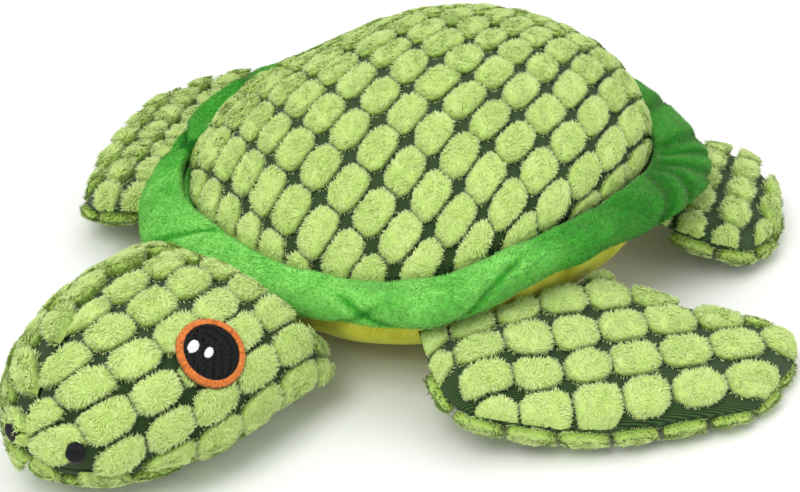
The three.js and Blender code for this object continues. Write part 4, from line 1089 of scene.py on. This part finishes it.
for k, (fname, (F, top_lat, bot_lat, (a0, a1))) in enumerate(flippers.items()):
    mid = (a0 + a1) / 2 * D2R
    ox_, oy_ = seam_xy(mid)
    ox_, oy_ = ox_ * F.side, oy_
    # per flipper: tuft height, gap, tint and corner rounding; the tint is painted light on the front-left flipper
    # (lighter) and painted shade on the front-right (darker)
    hgt, gap, tint, rnd = {"front_left_flipper": (1.05, 1.15, .16, 0.0), "front_right_flipper": (1.3, 1.7, -.12, .04), "rear_right_flipper": (1.25, 1.4, .02, .04)}.get(fname, (1.25, 2.2, .02, .06))
    for face, lat in ((1, top_lat), (-1, bot_lat)):
        q = np.linspace(-1, 1, 61)
        vv = 0.5 + 0.5 * np.sign(q) * (1 - (1 - np.abs(q)) ** 1.6)
        ss = 1 - (1 - np.linspace(0, 1, 70)) ** 1.5
        S, Vv = np.meshgrid(ss, vv, indexing="ij")
        P = F.point(S, Vv, face, PILE)
        wname = "top" if face > 0 else "bottom"
        pan = FlipperPanel(F, face)
        Nf = grid_normals(P)
        sgn = 1 if (Nf[10:-10, 10:-10, 2] * face > 0).mean() > .5 else -1
        ob = sheet_from_panel(f"{fname}_{wname}_cloth", pan, P, P[..., :2], sgn, thick=0.9)
        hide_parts(f"{fname}_{wname}_panel", *([f"{fname}_stuffing"] if face > 0 else []))
        fc = face
        keep = (lambda P, d: d > 11) if face < 0 else None
        tf = tufts(f"{fname}_{wname}_tufts", pan, lat, (-7, 9), (-7, 9), (lambda fc: (lambda P: np.broadcast_to([0.0, 0.0, float(fc)], P.shape)))(face), 51 + k * 2 + (face > 0), keep=keep, low=0.5,
                   density=1.0 if face > 0 else 0.7, least=(4 if fname == "front_left_flipper" else 5) if face > 0 else 7, height=hgt, row_gap=gap, end_gap=gap * .6, tint=tint, round_=rnd)
        for o in (ob, tf):
            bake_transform(o)
    edge = EdgePanel(F)
    count = int(edge.u[-1] // 19.5)
    tf = tufts(f"{fname}_edge_tufts", edge, Lattice((edge.u[-1] / count / 2, 4.5), (0, 9.0), (edge.u[-1] / count, 0)), (0, 0), (0, count - 1),
               lambda P: P - np.array([130.0 * F.side if "front" in fname else 95.0 * F.side, -20.0 if "front" in fname else 105.0, 22.0]), 71 + k, low=1.0, end_gap=1.2, height=1.25, tint=tint)
    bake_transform(tf)


# ---- embroidery
def threads(name, B, T, rad, N, mat, seed, seg=6, arch=0.35, tone=None):
    """Stitches from points B to T (n, 3): half-round strands that arch over the cloth, normals N."""
    rs = np.random.default_rng(seed)
    n = len(B)
    s = np.linspace(0, 1, seg + 1)
    Lw = np.linalg.norm(T - B, axis=1)
    C = B[:, None] + (T - B)[:, None] * s[None, :, None] + N[:, None] * (np.sin(s * PI)[None, :] ** .5 * arch)[..., None]
    C[:, 0] -= N * .5
    C[:, -1] -= N * .5
    D_ = unit(T - B)
    W = unit(np.cross(D_, N))
    ang = np.linspace(0, PI, 5)
    sec = W[:, None, None] * (np.cos(ang) * rad)[None, None, :, None] + N[:, None, None] * (np.sin(ang) * rad)[None, None, :, None]
    V = C[:, :, None] + sec
    V = np.concatenate([V, (C - N[:, None] * .7)[:, :, None]], 2)
    m = V.shape[2]
    one = grid_quads(seg + 1, m)
    r = np.arange(seg)
    wrapq = np.stack([r * m + m - 1, (r + 1) * m + m - 1, (r + 1) * m, r * m], -1)
    one = np.concatenate([one, wrapq])
    per = (seg + 1) * m
    quads = (one[None] + (np.arange(n) * per)[:, None, None]).reshape(-1, 4)
    cap = np.array([[0, 1, 2], [0, 2, 3], [0, 3, 4], [0, 4, 5]])
    caps = np.concatenate([cap, cap[:, ::-1] + seg * m])
    tris = (caps[None] + (np.arange(n) * per)[:, None, None]).reshape(-1, 3)
    tv = rs.uniform(0.15, 0.85, n) if tone is None else tone
    ob = make(name, V.reshape(-1, 3), quads, tris, mat, {"tone": np.repeat(tv, per)})
    return ob


def on_head(c, n, A, B, x, y, h):
    q = c + A * x[..., None] + B * y[..., None] + n * 12
    return head_hit(q.reshape(-1, 3), -n, 30).reshape(q.shape) + n * np.asarray(h)[..., None]


for side, (c, n, cn, nn, sx) in eyes.items():
    ax = np.array([-sx * 0.25, -1.0, 0.0])
    A = unit(ax - n * (ax @ n))
    B = np.cross(n, A)
    rs = np.random.default_rng(3)
    # orange ring of satin stitch in two rounds
    P1, P2 = [], []
    for m, r1, r2, h1, h2, slant in ((200, PUPIL_R - .25, PUPIL_R + 1.75, .05, .3, .05), (230, PUPIL_R + 1.25, EYE_R, .3, -.1, .05)):
        f = (np.arange(m) + rs.uniform(-.2, .2, m)) / m * 2 * PI
        ri, ro = r1 + rs.uniform(-.1, .1, m), r2 + rs.uniform(-.14, .1, m)
        P1.append(on_head(c, n, A, B, ri * np.cos(f), ri * np.sin(f), np.full(m, h1)))
        P2.append(on_head(c, n, A, B, ro * np.cos(f + slant), ro * np.sin(f + slant), np.full(m, h2)))
    P1, P2 = np.concatenate(P1), np.concatenate(P2)
    ring = threads(f"{side}_eye_ring_stitch", P1, P2, .27, np.broadcast_to(n, P1.shape), M_ORANGE, 5, arch=.5)
    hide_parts(f"{side}_eye_ring")
    # black disc: rows of fill stitch
    rows = []
    pitch = .42
    for yy in np.arange(-PUPIL_R + .25, PUPIL_R - .1, pitch):
        half = math.sqrt(max((PUPIL_R + .1) ** 2 - yy * yy, 0))
        xx = -half + rs.uniform(-.6, 0)
        while xx < half:
            L = rs.uniform(3.0, 4.2)
            rows.append((max(xx, -half), min(xx + L, half), yy))
            xx += L
    rows = np.array([r for r in rows if r[1] - r[0] > .5])
    P1 = on_head(c, n, A, B, rows[:, 0], rows[:, 2], np.full(len(rows), .1))
    P2 = on_head(c, n, A, B, rows[:, 1], rows[:, 2], np.full(len(rows), .1))
    pupil = threads(f"{side}_eye_pupil_stitch", P1, P2, .3, np.broadcast_to(n, P1.shape), M_BLACK, 6, arch=.18)
    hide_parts(f"{side}_eye_pupil")
    parts = [ring, pupil]
    for tag, (ex, ey), (ra, rb), sd in (("big", (5.75, -sx * 3.7), (2.6, 2.0), 7), ("small", (1.55, sx * .2), (2.05, 1.6), 8)):
        yy = np.arange(-rb + .15, rb, .36)
        half = ra * np.sqrt(np.maximum(1 - (yy / rb) ** 2, 0)) + rs.uniform(-.15, .1, len(yy))
        P1 = on_head(c, n, A, B, ex + sx * yy * .45 - half, ey + yy, np.full(len(yy), .5))
        P2 = on_head(c, n, A, B, ex + sx * yy * .45 + half, ey + yy, np.full(len(yy), .5))
        hl = threads(f"{side}_eye_highlight_{tag}_stitch", P1, P2, .3, np.broadcast_to(n, P1.shape), M_WHITE, sd, arch=.3)
        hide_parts(f"{side}_eye_highlight_{tag}")
        parts.append(hl)
    An = unit(np.array([0, 0, 1.0]) - nn * nn[2])
    Bn = np.cross(nn, An)
    xx = np.arange(-NOSTRIL_R, NOSTRIL_R + .01, .36)
    half = (NOSTRIL_R + .6) * np.sqrt(np.maximum(1 - (xx / (NOSTRIL_R + .2)) ** 2, 0.02))
    q1, q2 = (cn + An * (s_ * half)[:, None] + Bn * xx[:, None] + nn * .1 for s_ in (-1, 1))
    nos = threads(f"{side}_nostril_stitch", q1, q2, .34, np.broadcast_to(nn, q1.shape), M_BLACK, 9, arch=1.1)
    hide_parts(f"{side}_nostril")
    parts.append(nos)
    for p in parts:
        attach(p, "head")

# ---- the squeaker stays as it is made, with its own plastics
for node, base, rough in (("squeaker_body", (0.80, 0.84, 0.86), 0.38), ("squeaker_reed", (0.68, 0.72, 0.74), 0.3)):
    m = Mat(node + "_plastic", rough=rough, spec=0.5)
    co = obj_coord(m)
    f = m.noise(co, 180, 3, 0.5)
    m.color(m.ramp(f, [(0.3, tuple(x * 0.93 for x in base)), (0.7, base)]))
    m.bump(m.noise(co, 900, 2, 0.5), 0.12, 0.0003)
    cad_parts[node].data.materials.clear()
    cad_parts[node].data.materials.append(m.m)

# ------------------------------------------------------------------------------------------------
# Floor, light and camera
# ------------------------------------------------------------------------------------------------
bpy.ops.mesh.primitive_plane_add(size=12, location=(0, 0, -0.0003))
floor = bpy.context.object
floor.name = "floor"
mf = Mat("floor_paper", rough=0.9, spec=0.2)
mf.color(mf.ramp(mf.noise(obj_coord(mf), 3.0, 2, 0.5), [(0.0, (0.86, 0.86, 0.86)), (1.0, (0.9, 0.9, 0.9))]))
floor.data.materials.append(mf.m)

world = bpy.data.worlds.new("studio")
bpy.context.scene.world = world
world.use_nodes = True
world.node_tree.nodes["Background"].inputs[0].default_value = (1, 1, 1, 1)
world.node_tree.nodes["Background"].inputs[1].default_value = 0.66


def area(name, loc, target, size, power):
    li = bpy.data.lights.new(name, "AREA")
    li.shape, li.size, li.energy = "SQUARE", size, power
    ob = bpy.data.objects.new(name, li)
    bpy.context.scene.collection.objects.link(ob)
    ob.location = loc
    ob.rotation_euler = (Vector(target) - Vector(loc)).to_track_quat("-Z", "Y").to_euler()
    return ob


AZ, EL = 42 * D2R, 33 * D2R
back = Vector((math.sin(AZ) * math.cos(EL), -math.cos(AZ) * math.cos(EL), math.sin(EL)))
right = Vector((math.cos(AZ), math.sin(AZ), 0))
target = Vector(((6.5 + X_SHIFT) / 1000, (-13 + Y_SHIFT) / 1000, 0.016))
key = target + back * 1.05 - right * 0.55 + Vector((0, 0, 0.9))
area("key", key, target, 0.9, 15)
area("fill", target + back * 1.2 + right * 1.2 + Vector((0, 0, 0.1)), target, 1.2, 4)
area("top", target + Vector((0, 0.25, 1.5)), target, 1.4, 7)

cam_data = bpy.data.cameras.new("camera")
cam_data.sensor_width = 36
cam_data.lens = 90
cam_data.clip_start, cam_data.clip_end = 0.05, 20
cam = bpy.data.objects.new("camera", cam_data)
bpy.context.scene.collection.objects.link(cam)
cam.rotation_mode = "QUATERNION"
cam.location = target + back * 0.8
cam.rotation_quaternion = (-back).to_track_quat("-Z", "Y")
bpy.context.scene.camera = cam
bpy.context.scene.view_settings.view_transform = "Standard"
bpy.context.scene.view_settings.look = "None"
